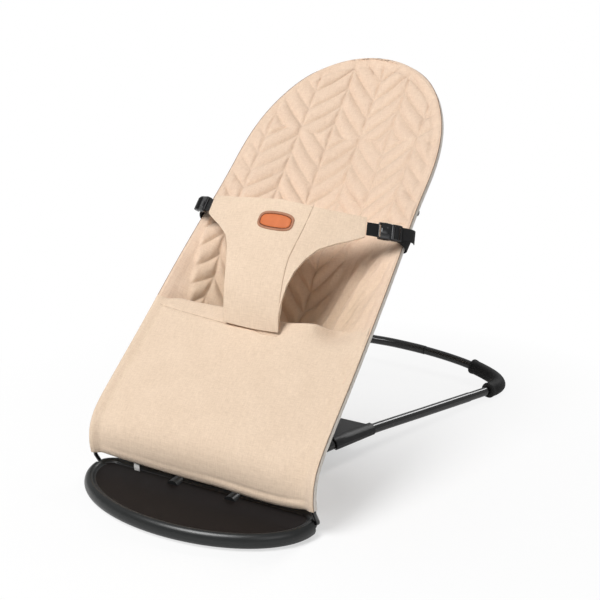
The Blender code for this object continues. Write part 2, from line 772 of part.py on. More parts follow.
def make_support_bow():
    top_back, top_z = glide_axis()
    half = [place(0.0, BOW_BACK, BOW_Z), place(BOW_BAR_HALF, BOW_BACK, BOW_Z),
            place(GLIDE_X - GLIDE_LENGTH / 2 - 0.005, top_back, top_z),
            place(GLIDE_X + GLIDE_LENGTH / 2 + 0.0010, top_back, top_z)]
    corners = mirrored(half[:0:-1], -1) + half[1:]
    wire_part("support_bow", fillet_path(corners, BOW_BEND, 5), WIRE_RADIUS, "black_steel")
    for side_name, side in SIDES:
        ends = [place(side * (GLIDE_X + shift), top_back, top_z)
                for shift in (-GLIDE_LENGTH / 2 + 0.0035, GLIDE_LENGTH / 2)]
        wall = GLIDE_RADIUS - WIRE_RADIUS - GLIDE_BORE_CLEARANCE
        pipe_part(f"bow_glide_{side_name}", ends, GLIDE_RADIUS, wall, "grey_nylon", resolution=6)


# Pieces of the seat

def make_seat_rods():
    for side_name, side in SIDES:
        axis_end = place(BUSH_INSIDE_X + 0.002, FOLD_BACK, FOLD_Z)
        corner = place(WIRE_HALF_SPREAD, FOLD_BACK, FOLD_Z)
        foot = fillet_path([axis_end, corner, LOOP[0], LOOP[1]], WIRE_BEND, 5)
        path = foot[:-1] + LOOP[1:-1] + [LOOP[-1] + Vector((0.0006, 0.0, 0.0))]
        wire_part(f"seat_rod_{side_name}", mirrored(path, side), WIRE_RADIUS, "black_steel")
    top = [LOOP[index] for index in (-4, -3, -2)]
    crown = top + [LOOP[-1]] + mirrored(top[::-1], -1)
    pipe_part("rod_ferrule", crown, WIRE_RADIUS + 0.0010, 0.0006, "zinc_steel", resolution=4)


def make_edge_channel():
    side = LOOP[1:]
    scales = [1.0 + CHANNEL_SWELL / CHANNEL_RADIUS * channel_swell(len(side) - 1 - index)
              for index in range(len(side))]
    whole = mirrored(side, -1) + side[-2::-1]
    pipe_part("edge_channel", whole, CHANNEL_RADIUS, CHANNEL_WALL, "beige_cloth",
              scales + scales[-2::-1], resolution=2)


def hang_shape(share, along):
    """The depth of the hanging cloth from the left rail to the right, 1 at its deepest."""
    gentle = cos(share * pi / 2) ** 2
    steep = max(1 - max(-share, 0.0) ** POCKET_STEEP_POWER, 0.0) ** POCKET_STEEP_ROUND
    run = max(share - POCKET_RAMP_START, 0.0) / (1 - POCKET_RAMP_START)
    ramp = max(cos(run * pi / 2), 0.0) ** POCKET_RAMP_POWER
    return mix(gentle, steep * ramp, ease((POCKET_END - along) / POCKET_BLEND))


def make_quilted_seat():
    first = station_of(QUILT_START_ALONG)
    last = len(LOOP) - 1 - 1.6
    normal = Vector((0.0, -sin(SEAT_INCLINE), cos(SEAT_INCLINE)))

    def surface(u, v):
        station = mix(first, last, v)
        edge = inner_edge(station)
        along = read_table(list(zip(range(len(LOOP)), LOOP_ALONG)), station)
        under_front = 0.0066 * (1.0 - ease((along - FRONT_TOP_ALONG - 0.008) / 0.03))
        depth = read_table(QUILT_DEPTH, along) * hang_shape(u, along)
        return Vector((edge.x * u, edge.y, edge.z)) - normal * (depth + under_front)

    sheet_part("quilted_seat", 14, 18, surface, QUILT_THICKNESS, "quilted_cloth")


def make_front_panel():
    last = station_of(FRONT_TOP_ALONG)

    def surface(u, v):
        station = mix(1.0, last, v)
        edge = inner_edge(station)
        ahead = loop_at(min(station + 0.5, len(LOOP) - 1.0))
        behind = loop_at(max(station - 0.5, 0.0))
        run = (ahead - behind).normalized()
        outward = Vector((0.0, -run.z, run.y))
        crown = 0.006 * (1 - u * u) * ease(v / 0.5)
        droop = 0.007 * (1 - u * u) * (1 - ease(v / 0.25))
        return Vector((edge.x * u, edge.y, edge.z - droop)) + outward * crown

    sheet_part("front_panel", 10, 12, surface, FRONT_THICKNESS, "beige_cloth")


def restraint_surface(u, v):
    """Across and up the restraint panel; u is -1 to 1, v is 0 at the crotch and 1 at the top."""
    rows = len(RESTRAINT) - 1
    spread = [index / rows for index in range(rows + 1)]
    along = read_table(list(zip(spread, [row[0] for row in RESTRAINT])), v)
    half = read_table(list(zip(spread, [row[1] for row in RESTRAINT])), v)
    across = half * u
    rise = 0.006 * (abs(across) / 0.130) ** 3 - 0.002 * sin(pi * abs(across) / 0.130)
    along += rise * ease((v - 0.75) / 0.25)
    return across, along


def make_restraint():
    def surface(u, v):
        across, along = restraint_surface(u, v)
        return seat_point(across, along, restraint_off(across, along))

    sheet_part("restraint_panel", 14, 18, surface, RESTRAINT_THICKNESS, "beige_cloth")

    def patch(u, v):
        w = 2 * v - 1
        across = PATCH_HALF_WIDTH * u * sqrt(1 - 0.2 * w * w)
        along = PATCH_ALONG + PATCH_HALF_HEIGHT * w * sqrt(1 - 0.2 * u * u)
        off = restraint_off(across, along) + RESTRAINT_THICKNESS / 2 + 0.0012
        return seat_point(across, along, off)

    sheet_part("leather_patch", 8, 4, patch, PATCH_THICKNESS, "tan_leather")


def make_care_label():
    hem = loop_at(1.0)
    top = Vector((LABEL_ACROSS, hem.y + 0.0035, hem.z - 0.006))
    path = [top, top - Vector((0.0, 0.0005, LABEL_DROP)), top - Vector((0.0, -0.0005, LABEL_DROP * 2))]
    strip_part("care_label", path, Vector((LABEL_WIDTH, 0.0, 0.0)), "white_tape", LABEL_THICKNESS)


# Buckles and webbing

def belt_frame(side):
    """The buckle's own axes: out along the belt, across it, and off its face."""
    inner = seat_point(*BELT_INNER)
    outer = seat_point(*BELT_OUTER)
    low_end = seat_point(0.134, 0.331, restraint_off(0.134, 0.331))
    high_end = seat_point(0.130, 0.360, restraint_off(0.130, 0.360))
    along = (outer - inner).normalized()
    across = high_end - low_end
    across = (across - along * across.dot(along)).normalized()
    face = along.cross(across)
    if side < 0:
        inner.x, along.x, across.x, face.x = -inner.x, -along.x, -across.x, -face.x
        across = -across
    frame = Matrix((along, across, face)).transposed().to_4x4()
    return Matrix.Translation(inner) @ frame


def make_socket(side_name, frame):
    half = BUCKLE_HALF_WIDTH
    tall = SOCKET_HALF_HEIGHT
    inner_half = half - BUCKLE_WALL - 0.0006
    inner_tall = tall - BUCKLE_WALL
    outer = ((SOCKET_START, -half, -tall), (SOCKET_END, half, tall))
    shell = add_part(f"buckle_socket_{side_name}", box_mesh("socket", *outer), "gloss_plastic", frame)
    cavity = ((CAVITY_START, -inner_half, -inner_tall), (SOCKET_END + 0.002, inner_half, inner_tall))
    cut(shell, box_mesh("cavity", *cavity), frame)
    window = ((BUTTON_START, -0.02, -inner_tall), (BUTTON_END, 0.02, inner_tall))
    cut(shell, box_mesh("button windows", *window), frame)
    slot = ((SOCKET_START + 0.0014, -WEB_SLOT_HALF, -0.01), (SOCKET_START + 0.0034, WEB_SLOT_HALF, 0.01))
    cut(shell, box_mesh("webbing slot", *slot), frame)


def make_plug(side_name, frame):
    start = SOCKET_END + GAP
    half, tall = BUCKLE_HALF_WIDTH, PLUG_HALF_HEIGHT
    outer = ((start, -half, -tall), (PLUG_END, half, tall))
    plug = add_part(f"buckle_plug_{side_name}", box_mesh("plug", *outer), "gloss_plastic", frame)
    tongue = ((CAVITY_START + 0.001, -TONGUE_HALF_WIDTH, -TONGUE_HALF_HEIGHT),
              (start + 0.002, TONGUE_HALF_WIDTH, TONGUE_HALF_HEIGHT))
    join(plug, box_mesh("tongue", *tongue), frame)
    for near in (start + 0.0040, start + 0.0100):
        slot = ((near, -WEB_SLOT_HALF, -0.01), (near + 0.0026, WEB_SLOT_HALF, 0.01))
        cut(plug, box_mesh("ladder slot", *slot), frame)


def make_prongs(side_name, side, frame):
    """The two sprung arms, whose heads stand out of the socket's windows as squeeze buttons.

    The buckle's across axis points up on the right side and down on the left.
    """
    near, far = BUTTON_START + PRONG_CLEARANCE, BUTTON_END - PRONG_CLEARANCE
    root = SOCKET_END - GAP
    outline = [(near, 0.0044), (root, 0.0044), (root, 0.0070), (far, 0.0070), (far, 0.0116),
               (far - 0.0018, 0.0132), (near + 0.0018, 0.0132), (near, 0.0116)]
    for edge_name, way in (("upper", side), ("lower", -side)):
        turned = [(u, v * way) for u, v in outline]
        flat_part(f"buckle_prong_{side_name}_{edge_name}", turned[::way], PRONG_HALF_THICKNESS,
                  "gloss_plastic", frame)


def make_webbing(side_name, side, frame):
    across = frame.to_3x3() @ Vector((0.0, WEB_WIDTH, 0.0))
    near = [frame @ Vector((u, 0.0, 0.0)) for u in (0.0012, 0.008, SOCKET_START - 0.0004)]
    strip_part(f"panel_strap_{side_name}", near, across, "black_webbing")
    spots = [(PLUG_END + 0.0004, 0.0), (PLUG_END + 0.006, -0.0003), (PLUG_END + 0.012, -0.0015),
             (PLUG_END + 0.017, -0.0035)]
    tail = [frame @ Vector((u, 0.0, off)) for u, off in spots]
    strip_part(f"strap_tail_{side_name}", tail, across, "black_webbing")
    rail = loop_at(station_of(SIDE_STRAP_ALONG))
    path = [(-0.022, -0.0090), (-0.010, -0.0090), (0.0010, -0.0080), (0.0068, -0.0042),
            (0.0078, 0.0020), (0.0060, 0.0090), (0.0020, 0.0165), (-0.0010, 0.0190)]
    off_rail = Vector((0.0, -sin(SEAT_INCLINE), cos(SEAT_INCLINE)))
    loop = [Vector((side * (rail.x + out), rail.y, rail.z)) + off_rail * up for out, up in path]
    uphill = Vector((0.0, cos(SEAT_INCLINE), sin(SEAT_INCLINE)))
    strip_part(f"side_strap_{side_name}", loop, uphill * WEB_WIDTH, "black_webbing")


def make_buckles():
    for side_name, side in SIDES:
        frame = belt_frame(side)
        make_socket(side_name, frame)
        make_plug(side_name, frame)
        make_prongs(side_name, side, frame)
        make_webbing(side_name, side, frame)


def main():
    clear_scene()
    add_material("black_plastic", (0.020, 0.020, 0.021), 0.45)
    add_material("gloss_plastic", (0.015, 0.015, 0.016), 0.25)
    add_material("black_steel", (0.018, 0.018, 0.018), 0.30, 0.6)
    add_material("zinc_steel", (0.55, 0.55, 0.56), 0.35, 1.0)
    add_material("rubber", (0.018, 0.018, 0.018), 0.80)
    add_material("grey_nylon", (0.10, 0.10, 0.10), 0.50)
    add_material("beige_cloth", (0.78, 0.64, 0.50), 0.95)
    add_material("quilted_cloth", (0.79, 0.63, 0.50), 0.95)
    add_material("tan_leather", (0.62, 0.24, 0.09), 0.55)
    add_material("white_tape", (0.80, 0.79, 0.77), 0.90)
    add_material("black_webbing", (0.02, 0.02, 0.022), 0.85)
    make_front_plate()
    make_grip_pads()
    make_pivot_bushes()
    make_side_tubes()
    make_corner_tubes()
    make_rear_bar()
    make_rear_feet()
    make_recline_bridge()
    make_bow_bearings()
    make_screws()
    make_support_bow()
    make_seat_rods()
    make_edge_channel()
    make_quilted_seat()
    make_front_panel()
    make_restraint()
    make_care_label()
    make_buckles()


main()
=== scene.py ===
from math import cos, floor, pi, radians, sin, sqrt

import bmesh
import bpy
from mathutils import Matrix, Vector, kdtree, noise


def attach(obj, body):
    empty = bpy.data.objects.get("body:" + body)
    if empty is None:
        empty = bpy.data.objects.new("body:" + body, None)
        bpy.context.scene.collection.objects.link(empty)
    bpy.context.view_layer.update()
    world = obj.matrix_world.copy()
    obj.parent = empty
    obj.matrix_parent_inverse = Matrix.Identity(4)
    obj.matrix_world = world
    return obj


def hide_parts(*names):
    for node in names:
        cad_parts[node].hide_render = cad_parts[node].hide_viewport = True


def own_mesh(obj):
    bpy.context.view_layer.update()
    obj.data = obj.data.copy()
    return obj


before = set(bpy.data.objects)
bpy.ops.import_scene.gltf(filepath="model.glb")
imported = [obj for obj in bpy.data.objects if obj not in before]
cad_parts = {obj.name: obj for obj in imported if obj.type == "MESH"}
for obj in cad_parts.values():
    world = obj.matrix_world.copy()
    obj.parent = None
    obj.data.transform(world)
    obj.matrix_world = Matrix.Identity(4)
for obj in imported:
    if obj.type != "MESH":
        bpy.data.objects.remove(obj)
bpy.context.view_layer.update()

# The seat loop, as the frame carries it: half width, back from a line under the hem, height
DATUM_Y = -0.263
RAIL = [
    (0.1860, -0.0050, 0.034), (0.1860, -0.0090, 0.058), (0.1860, -0.0050, 0.084),
    (0.1855, 0.0120, 0.108), (0.1840, 0.0500, 0.1395), (0.1815, 0.1210, 0.1950),
    (0.1780, 0.2050, 0.2640), (0.1740, 0.2700, 0.3165), (0.1695, 0.3300, 0.3640),
]
HEAD_BACK = 0.370
HEAD_Z = 0.3955
HEAD_HALF_WIDTH = 0.168
HEAD_LENGTH = 0.188
HEAD_POWER = 2.6
HEAD_RISE = 0.80
HEAD_LIFT = 0.25
HEAD_STEPS = 12
WIRE_RADIUS = 0.003
CHANNEL_RADIUS = 0.0048
CHANNEL_SWELL = 0.0012
SWELL_STATIONS = 7

# Seat plane: along the incline from the knee, and off the plane
SEAT_INCLINE = radians(39.4)
KNEE_BACK, KNEE_Z = 0.0114, 0.1074
UPHILL = Vector((0.0, cos(SEAT_INCLINE), sin(SEAT_INCLINE)))
OFF_SEAT = Vector((0.0, -sin(SEAT_INCLINE), cos(SEAT_INCLINE)))
KNEE = Vector((0.0, DATUM_Y + KNEE_BACK, KNEE_Z))

# Quilted seat: how deep it hangs between the rails (along, depth)
SEAT_DEPTH = [
    (0.105, 0.010), (0.135, 0.034), (0.170, 0.051), (0.200, 0.061), (0.225, 0.065), (0.260, 0.063),
    (0.320, 0.052), (0.400, 0.036), (0.480, 0.026), (0.560, 0.019), (0.640, 0.012), (0.740, 0.006),
]
POCKET_END = 0.345
# Painted shade: the quilted cloth's colour is made darker down in the pocket, where shade falls; none of
# it at the first place, all of it at the second
POCKET_PAINTED_SHADE = (0.83, 0.83, 0.79)
PAINTED_SHADE_TOP, PAINTED_SHADE_LEFT, PAINTED_SHADE_RIGHT = (0.37, 0.25), (-0.168, -0.138), (0.184, 0.130)
QUILT_START_ALONG = 0.118
QUILT_LIFT = 0.0018
PUFF_HEIGHT = 0.0056
POCKET_PUFF = 1.65
RIM_REACH = 0.015
WRAP_TURN = radians(27)
HEAD_WRAP_TURN = radians(98)
# How far the cloths lie off the channel round the wire
QUILT_LEVEL = 0.0006
FRONT_LEVEL = 0.0016
BACKING_LEVEL = -0.0016
BACKING_DROP = 0.0035
BACKING_SHARE = 0.985
RAIL_SAMPLES = 400
CHANNEL_SIDES = 14

# Herringbone quilting
STEM_PITCH = 0.0526
STEM_START = -0.1425
LEAF_PITCH = 0.0350
LEAF_SHIFT = 0.022
LEAF_BOW = 0.05
# Where the leaves turn over, counted in half leaves so that the stitch lines meet
TURN_COUNTS = (23, 32)
# The stems drift sideways as they run down the seat
STEM_DRIFT = 0.016
DRIFT_TOP, DRIFT_RUN = 0.62, 0.40
# Plain margins beside the quilting in the pocket: along, left limit, right limit
QUILT_LIMITS = [
    (0.205, -0.140, 0.050), (0.220, -0.148, 0.054), (0.250, -0.155, 0.061), (0.296, -0.161, 0.075),
    (0.330, -0.163, 0.083), (0.366, -0.175, 0.087), (0.392, -0.200, 0.150), (0.410, -0.200, 0.200),
    (0.800, -0.200, 0.200),
]
QUILT_LOWER_END = 0.214
THREAD = 0.00085

# Front panel
FRONT_TOP_ALONG = 0.198
SEAM_ALONG = 0.172
SEAM_RISE, SEAM_RISE_ACROSS = 0.013, 0.173
SEAM_RIGHT_END = 0.045
SEAM_HALF = 0.183
FRONT_HALF = 0.186
ROLL_RADIUS = 0.010
ROLL_LENGTH = 0.018
# The weave's rows are counted from here
FRONT_WEAVE_START = 0.1

# Restraint panel: along, half width, height off the seat plane on the centre line
RESTRAINT = [
    (0.1705, 0.0460, 0.0048), (0.178, 0.0463, 0.0140), (0.190, 0.0470, 0.0270),
    (0.210, 0.0490, 0.0430), (0.230, 0.0525, 0.0550), (0.250, 0.0575, 0.0620),
    (0.272, 0.0660, 0.0650), (0.292, 0.0780, 0.0665),
    (0.310, 0.1000, 0.0680), (0.331, 0.1340, 0.0715), (0.356, 0.1300, 0.0790),
]
RESTRAINT_THICKNESS = 0.004
RESTRAINT_DOME = 0.025
RESTRAINT_HALF = 0.130
# The panel's one seam, on its right: along, across
RESTRAINT_SEAM = [
    (0.205, 0.0462), (0.221, 0.0455), (0.249, 0.0437), (0.268, 0.0425), (0.295, 0.0443),
    (0.328, 0.0477), (0.357, 0.0518),
]
STITCH_LENGTH, STITCH_GAP, STITCH_RADIUS = 0.0021, 0.0002, 0.00075

# Leather patch: its place, half size, and profile as inset and height
PATCH_ALONG = 0.322
PATCH_HALF = (0.0300, 0.0152)
PATCH_PROFILE = [
    (0.0006, 0.0001), (0.0, 0.0006), (0.0003, 0.0011), (0.0010, 0.0014), (0.0030, 0.0015),
    (0.0036, 0.0008), (0.0048, 0.0008), (0.0054, 0.0014), (0.0068, 0.0017), (0.0100, 0.0018),
    (0.0130, 0.0018),
]
PATCH_BAND_RINGS = 5

# Webbing; a belt's inner and outer end are along, across and off the seat plane
WEB_WIDTH = 0.020
BELT_INNER = (0.1340, 0.3465, 0.0500)
BELT_OUTER = (0.1820, 0.3650, 0.0200)
SIDE_STRAP_ALONG = 0.3625
# Straps along a belt, from the panel's end and off its face
PANEL_PATH = [(0.0, 0.0), (0.006, 0.0), (0.012, 0.0), (0.0180, 0.0)]
TAIL_PATH = [
    (0.051, 0.0), (0.056, 0.0004), (0.061, 0.0002), (0.067, -0.0010), (0.0715, -0.0036),
    (0.0745, -0.0076), (0.0758, -0.0125),
]
LADDER_PATH = [
    (0.0425, -0.0046), (0.0426, 0.0), (0.0431, 0.0036), (0.0441, 0.0051), (0.0454, 0.0054),
    (0.0468, 0.0051), (0.0480, 0.0036), (0.0486, 0.0), (0.0487, -0.0046),
]
# The side strap round the rail: outwards from its centre and off the seat plane
SIDE_PATH = [
    (-0.022, -0.0090), (-0.010, -0.0090), (0.0010, -0.0086), (0.0074, -0.0042),
    (0.0086, 0.0020), (0.0066, 0.0090), (0.0026, 0.0165), (-0.0010, 0.0190),
]
# Buckles, measured out along the belt in the same way: along, half across, half thick
SOCKET_RINGS = [
    (0.0170, 0.0106, 0.0030), (0.0173, 0.0116, 0.0037), (0.0182, 0.0123, 0.0041),
    (0.0210, 0.0125, 0.00425), (0.0330, 0.0125, 0.00425), (0.0360, 0.0124, 0.0042),
    (0.0367, 0.0121, 0.0040), (0.0370, 0.0117, 0.0036),
]
PAD_RINGS = [
    (0.0215, 0.0052, 0.0046), (0.0221, 0.0060, 0.0050), (0.0230, 0.0064, 0.0052),
    (0.0320, 0.0064, 0.0052), (0.0329, 0.0060, 0.0050), (0.0335, 0.0052, 0.0046),
]
PLUG_RINGS = [
    (0.0373, 0.0117, 0.0028), (0.0376, 0.0122, 0.0032), (0.0384, 0.0125, 0.0035),
    (0.0440, 0.0125, 0.0035), (0.0500, 0.0124, 0.0034), (0.0522, 0.0120, 0.0031),
    (0.0530, 0.0112, 0.0024),
]
LABEL_ACROSS = -0.112

# Base, as the frame carries it
SIDE_TUBE = [
    (0.0490, 0.0010, 0.0135), (0.0490, 0.0210, 0.0135), (0.0492, 0.0410, 0.0136),
    (0.0560, 0.0680, 0.0166), (0.0705, 0.1120, 0.0238), (0.1035, 0.2050, 0.0297),
    (0.1290, 0.2850, 0.0272), (0.1680, 0.3950, 0.0209), (0.2065, 0.5045, 0.0145),
]
CORNER_TUBE = [
    (0.1979, 0.4800, 0.0159), (0.2067, 0.5050, 0.0145), (0.2220, 0.5490, 0.0121),
    (0.2290, 0.5700, 0.0118), (0.2270, 0.5900, 0.0118), (0.2070, 0.6085, 0.0145),
    (0.1650, 0.6200, 0.0215), (0.1200, 0.6260, 0.0262), (0.0700, 0.6310, 0.0288),
    (0.0450, 0.6325, 0.0295),
]
CORNER_STEPS = 12
REAR_BAR_CENTRE = (0.0, 0.6340, 0.0300)
TUBE_RADIUS = 0.008
CORNER_TUBE_RADIUS = 0.0074
SPIGOT_RADIUS = 0.0061
SPIGOT_LENGTH = 0.025
FOOT_RADIUS = 0.0125
# The rubber foot's rounded lip: distance from its end, radius
FOOT_LIP = [(0.0, 0.0086), (0.0004, 0.0112), (0.0012, 0.0126), (0.0026, 0.0133), (0.0050, 0.0134),
            (0.0075, 0.0131), (0.0095, 0.0125)]
FOLD_INNER, FOLD_BACK, FOLD_Z = 0.158, 0.0080, 0.0125
BOW_HALF, BOW_BACK, BOW_Z = 0.073, 0.245, 0.0405
# The bow's ends lie in glides, which stay just under the rails
PROP_ALONG = 0.430
GLIDE_X, GLIDE_RADIUS, GLIDE_GAP = 0.160, 0.0050, 0.0010
SOCKET_X, SOCKET_Z = 0.049, 0.0135
PLATE_HALF, PLATE_FRONT, PLATE_WIDEST, PLATE_REAR = 0.190, -0.116, -0.005, 0.027
PLATE_CORNER = 0.040
RECESS_INSET = 0.018
# The plate's rim: inset, height
PLATE_RIM = [
    (0.0060, 0.0025), (0.0018, 0.0055), (0.0, 0.0115), (0.0014, 0.0180), (0.0045, 0.0222),
    (0.0085, 0.0240), (0.0125, 0.0225), (0.0155, 0.0190),
]

# Room: the floor's shadow is measured out from its middle
SHADOW_CENTRE = (0.12, -0.16, 0.0)
CORE_SHADOW = (0.05, 0.45)
CORE_DEPTH = 0.47
FADE_TO_WHITE = (0.45, 0.75)
FLOOR_GLOW = 0.87
FLOOR_HALF = 6.0
IN_REFLECTIONS = 0.45
SKY_LIGHT = 0.07
# Each lamp's name, place, target, size and power
LIGHTS = [
    ("key", (-0.58, -1.75, 2.55), (0.0, 0.0, 0.2), 1.5, 85.0),
    ("fill", (1.9, -1.6, 1.6), (0.0, 0.0, 0.25), 1.6, 9.0),
    ("back", (0.5, 2.2, 2.0), (0.0, 0.1, 0.1), 1.0, 22.0),
]

SIDES = (("left", -1), ("right", 1))


# Numbers and paths

def mix(low, high, share):
    return low + (high - low) * share


def ease(share):
    share = min(max(share, 0.0), 1.0)
    return share * share * (3 - 2 * share)


def spread(low, high, steps):
    """Even places from low to high, both included."""
    return [mix(low, high, step / steps) for step in range(steps + 1)]


def uneven(x, y, z):
    return noise.noise(Vector((x, y, z)))


def last_below(low, high, is_below, rounds=40):
    """The highest value that is still below, found by halving."""
    for _ in range(rounds):
        middle = (low + high) / 2
        if is_below(middle):
            low = middle
        else:
            high = middle
    return low


def read_table(table, key, column=1):
    for low, high in zip(table, table[1:]):
        if key <= high[0]:
            share = max(0.0, (key - low[0]) / (high[0] - low[0]))
            return mix(low[column], high[column], share)
    return table[-1][column]


def smooth_path(points, steps):
    ends = [points[0] * 2 - points[1]] + list(points) + [points[-1] * 2 - points[-2]]
    path = []
    for one, two, three, four in zip(ends, ends[1:], ends[2:], ends[3:]):
        for step in range(steps):
            t = step / steps
            path.append(0.5 * (2 * two + (three - one) * t
                               + (2 * one - 5 * two + 4 * three - four) * t * t
                               + (3 * two - one - 3 * three + four) * t ** 3))
    path.append(points[-1].copy())
    return path


def place(across, back, up):
    return Vector((across, DATUM_Y + back, up))


def seat_point(across, along, off):
    return Vector((across, 0.0, 0.0)) + KNEE + UPHILL * along + OFF_SEAT * off


def head_point(turn):
    """A point of the head's curve, from the rail at 0 to the top at 1."""
    rise = sin(turn * pi / 2) ** (2 / HEAD_POWER)
    run = HEAD_LENGTH * rise
    return (HEAD_HALF_WIDTH * cos(turn * pi / 2), HEAD_BACK + run,
            HEAD_Z + HEAD_RISE * run + HEAD_LIFT * run * run)


def loop_side():
    side = [Vector(spot) for spot in RAIL] + [Vector(head_point(0))]
    lower = smooth_path(side, 3)
    head = [Vector(head_point(turn)) for turn in spread(0, 1, HEAD_STEPS)[1:]]
    return [place(*spot) for spot in lower + head]


LOOP = loop_side()
LOWER_COUNT = len(LOOP) - 1 - HEAD_STEPS
TOP_STATION = len(LOOP) - 1.0
KNEE_STATION = 7.0


def loop_at(station):
    """A point of the right rail; the head curve is read from its own formula."""
    if station >= LOWER_COUNT:
        return place(*head_point(min((station - LOWER_COUNT) / HEAD_STEPS, 1.0)))
    low = int(station)
    return LOOP[low].lerp(LOOP[low + 1], station - low)


def turn_along(count):
    """Where along the seat the leaves turn over, so that the lines of both sides meet."""
    return LEAF_SHIFT + (LEAF_PITCH * count - STEM_PITCH) / 2


def along_of(point):
    return (point - KNEE).dot(UPHILL)


def station_of(along):
    """The rail's station that lies so far along the seat."""
    return last_below(KNEE_STATION, TOP_STATION, lambda station: along_of(loop_at(station)) < along)


def rail_frame(station):
    """The right rail's centre there, the way inwards in the cloth, and the way off it."""
    here = loop_at(station)
    run = loop_at(min(station + 0.3, TOP_STATION)) - loop_at(max(station - 0.3, 0.0))
    if station > TOP_STATION - 0.01:
        run = Vector((-1.0, 0.0, 0.0))
    run.normalize()
    uphill = sqrt(run.y ** 2 + run.z ** 2)
    if uphill < 1e-5:
        last = loop_at(TOP_STATION) - loop_at(TOP_STATION - 3)
        last.x = 0.0
        inward = -last.normalized()
    else:
        inward = Vector((-uphill, run.x * run.y / uphill, run.x * run.z / uphill)).normalized()
    return here, inward, run.cross(inward).normalized()


def rail_radius(station):
    """The radius of the channel round the wire."""
    from_top = TOP_STATION - 1 - station
    return CHANNEL_RADIUS + CHANNEL_SWELL * (1.0 - ease((from_top - SWELL_STATIONS + 3) / 3))


def fillet_path(points, radius):
    """A path of straight runs with every corner rounded."""
    path = [points[0].copy()]
    for before, corner, after in zip(points, points[1:], points[2:]):
        inward = (before - corner).normalized()
        outward = (after - corner).normalized()
        half_angle = inward.angle(outward) / 2
        reach = radius * cos(half_angle) / sin(half_angle)
        start, end = corner + inward * reach, corner + outward * reach
        for t in spread(0, 1, 10):
            path.append(start.lerp(corner, t).lerp(corner.lerp(end, t), t))
    path.append(points[-1].copy())
    return path


def to_side(spot, side):
    """A point of the right half, or its mirror image on the left where side is -1."""
    return Vector((spot.x * side, spot.y, spot.z))


def mirrored(path, side):
    return [to_side(spot, side) for spot in path]


def path_lengths(path):
    lengths = [0.0]
    for before, after in zip(path, path[1:]):
        lengths.append(lengths[-1] + (after - before).length)
    return lengths


def spots_at(path, distances):
    """Points of a path at rising distances from its start."""
    lengths = path_lengths(path)
    found, index = [], 1
    for distance in distances:
        while index < len(path) - 1 and lengths[index] < distance:
            index += 1
        share = (distance - lengths[index - 1]) / (lengths[index] - lengths[index - 1])
        found.append(path[index - 1].lerp(path[index], share))
    return found


# Meshes

def new_piece(name, mesh, finish, body, smooth_angle=None):
    """Put a finished mesh in the scene and let it ride on a body."""
    item = link_to_scene(name, mesh)
    mesh.materials.clear()
    mesh.materials.append(finishes[finish])
    mesh.shade_smooth()
    if smooth_angle is not None:
        mesh.set_sharp_from_angle(angle=radians(smooth_angle))
    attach(item, body)
    return item


def link_to_scene(name, data):
    item = bpy.data.objects.new(name, data)
    bpy.context.scene.collection.objects.link(item)
    return item


def to_mesh(bm, name):
    mesh = bpy.data.meshes.new(name)
    bm.to_mesh(mesh)
    bm.free()
    return mesh


def grid(columns, rows):
    bm = bmesh.new()
    bmesh.ops.create_grid(bm, x_segments=columns, y_segments=rows, size=1.0)
    bm.verts.index_update()
    return bm


def rings_mesh(name, rings):
    """A closed body through a stack of rings with equal point counts."""
    bm = bmesh.new()
    loops = []
    for ring in rings:
        verts = [bm.verts.new(spot) for spot in ring]
        loops.append([bm.edges.new(pair) for pair in zip(verts, verts[1:] + verts[:1])])
    for low, high in zip(loops, loops[1:]):
        bmesh.ops.bridge_loops(bm, edges=low + high)
    for end in (loops[0], loops[-1]):
        bmesh.ops.contextual_create(bm, geom=end)
    bmesh.ops.recalc_face_normals(bm, faces=bm.faces)
    return to_mesh(bm, name)


def tube_rings(path, radius, sides):
    """Round rings square to a path; radius may be a function of the ring's number and turn."""
    rings = []
    normal = None
    for index, spot in enumerate(path):
        before = path[max(index - 1, 0)]
        after = path[min(index + 1, len(path) - 1)]
        along = (after - before).normalized()
        if normal is None:
            normal = along.orthogonal().normalized()
        normal = (normal - along * normal.dot(along)).normalized()
        other = along.cross(normal)
        ring = []
        for step in range(sides):
            turn = 2 * pi * step / sides
            size = radius(index, turn) if callable(radius) else radius
            ring.append(spot + (normal * cos(turn) + other * sin(turn)) * size)
        rings.append(ring)
    return rings


def add_solidify(item, thickness, offset):
    shell = item.modifiers.new("thickness", "SOLIDIFY")
    shell.thickness, shell.offset = thickness, offset


def add_bevel(item, width, segments=2, angle=40):
    edge = item.modifiers.new("edges", "BEVEL")
    edge.width, edge.segments, edge.harden_normals = width, segments, False
    edge.limit_method, edge.angle_limit = "ANGLE", radians(angle)


def cloth_piece(name, bm, flat, finish, thickness=None, offset=-1.0, weld=None):
    """A seat piece of cloth; flat holds every vertex's place on the flat cloth, in metres."""
    layer = bm.loops.layers.uv.new("cloth")
    for face in bm.faces:
        for corner in face.loops:
            corner[layer].uv = flat[corner.vert.index]
    if weld:
        bmesh.ops.remove_doubles(bm, verts=bm.verts, dist=weld)
    item = new_piece(name, to_mesh(bm, name), finish, "seat")
    if thickness:
        add_solidify(item, thickness, offset)
    return item


def dress(node, finish, body, bevel=0.0):
    """A smooth-shaded copy of a CAD node with its edges broken, standing for it."""
    bm = bmesh.new()
    bm.from_mesh(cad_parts[node].data)
    bmesh.ops.remove_doubles(bm, verts=bm.verts, dist=0.00002)
    bmesh.ops.dissolve_limit(bm, angle_limit=radians(1.0), verts=bm.verts, edges=bm.edges)
    item = new_piece(f"{node}_piece", to_mesh(bm, node), finish, body, smooth_angle=35)
    if bevel:
        add_bevel(item, bevel)
    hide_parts(node)


# Materials

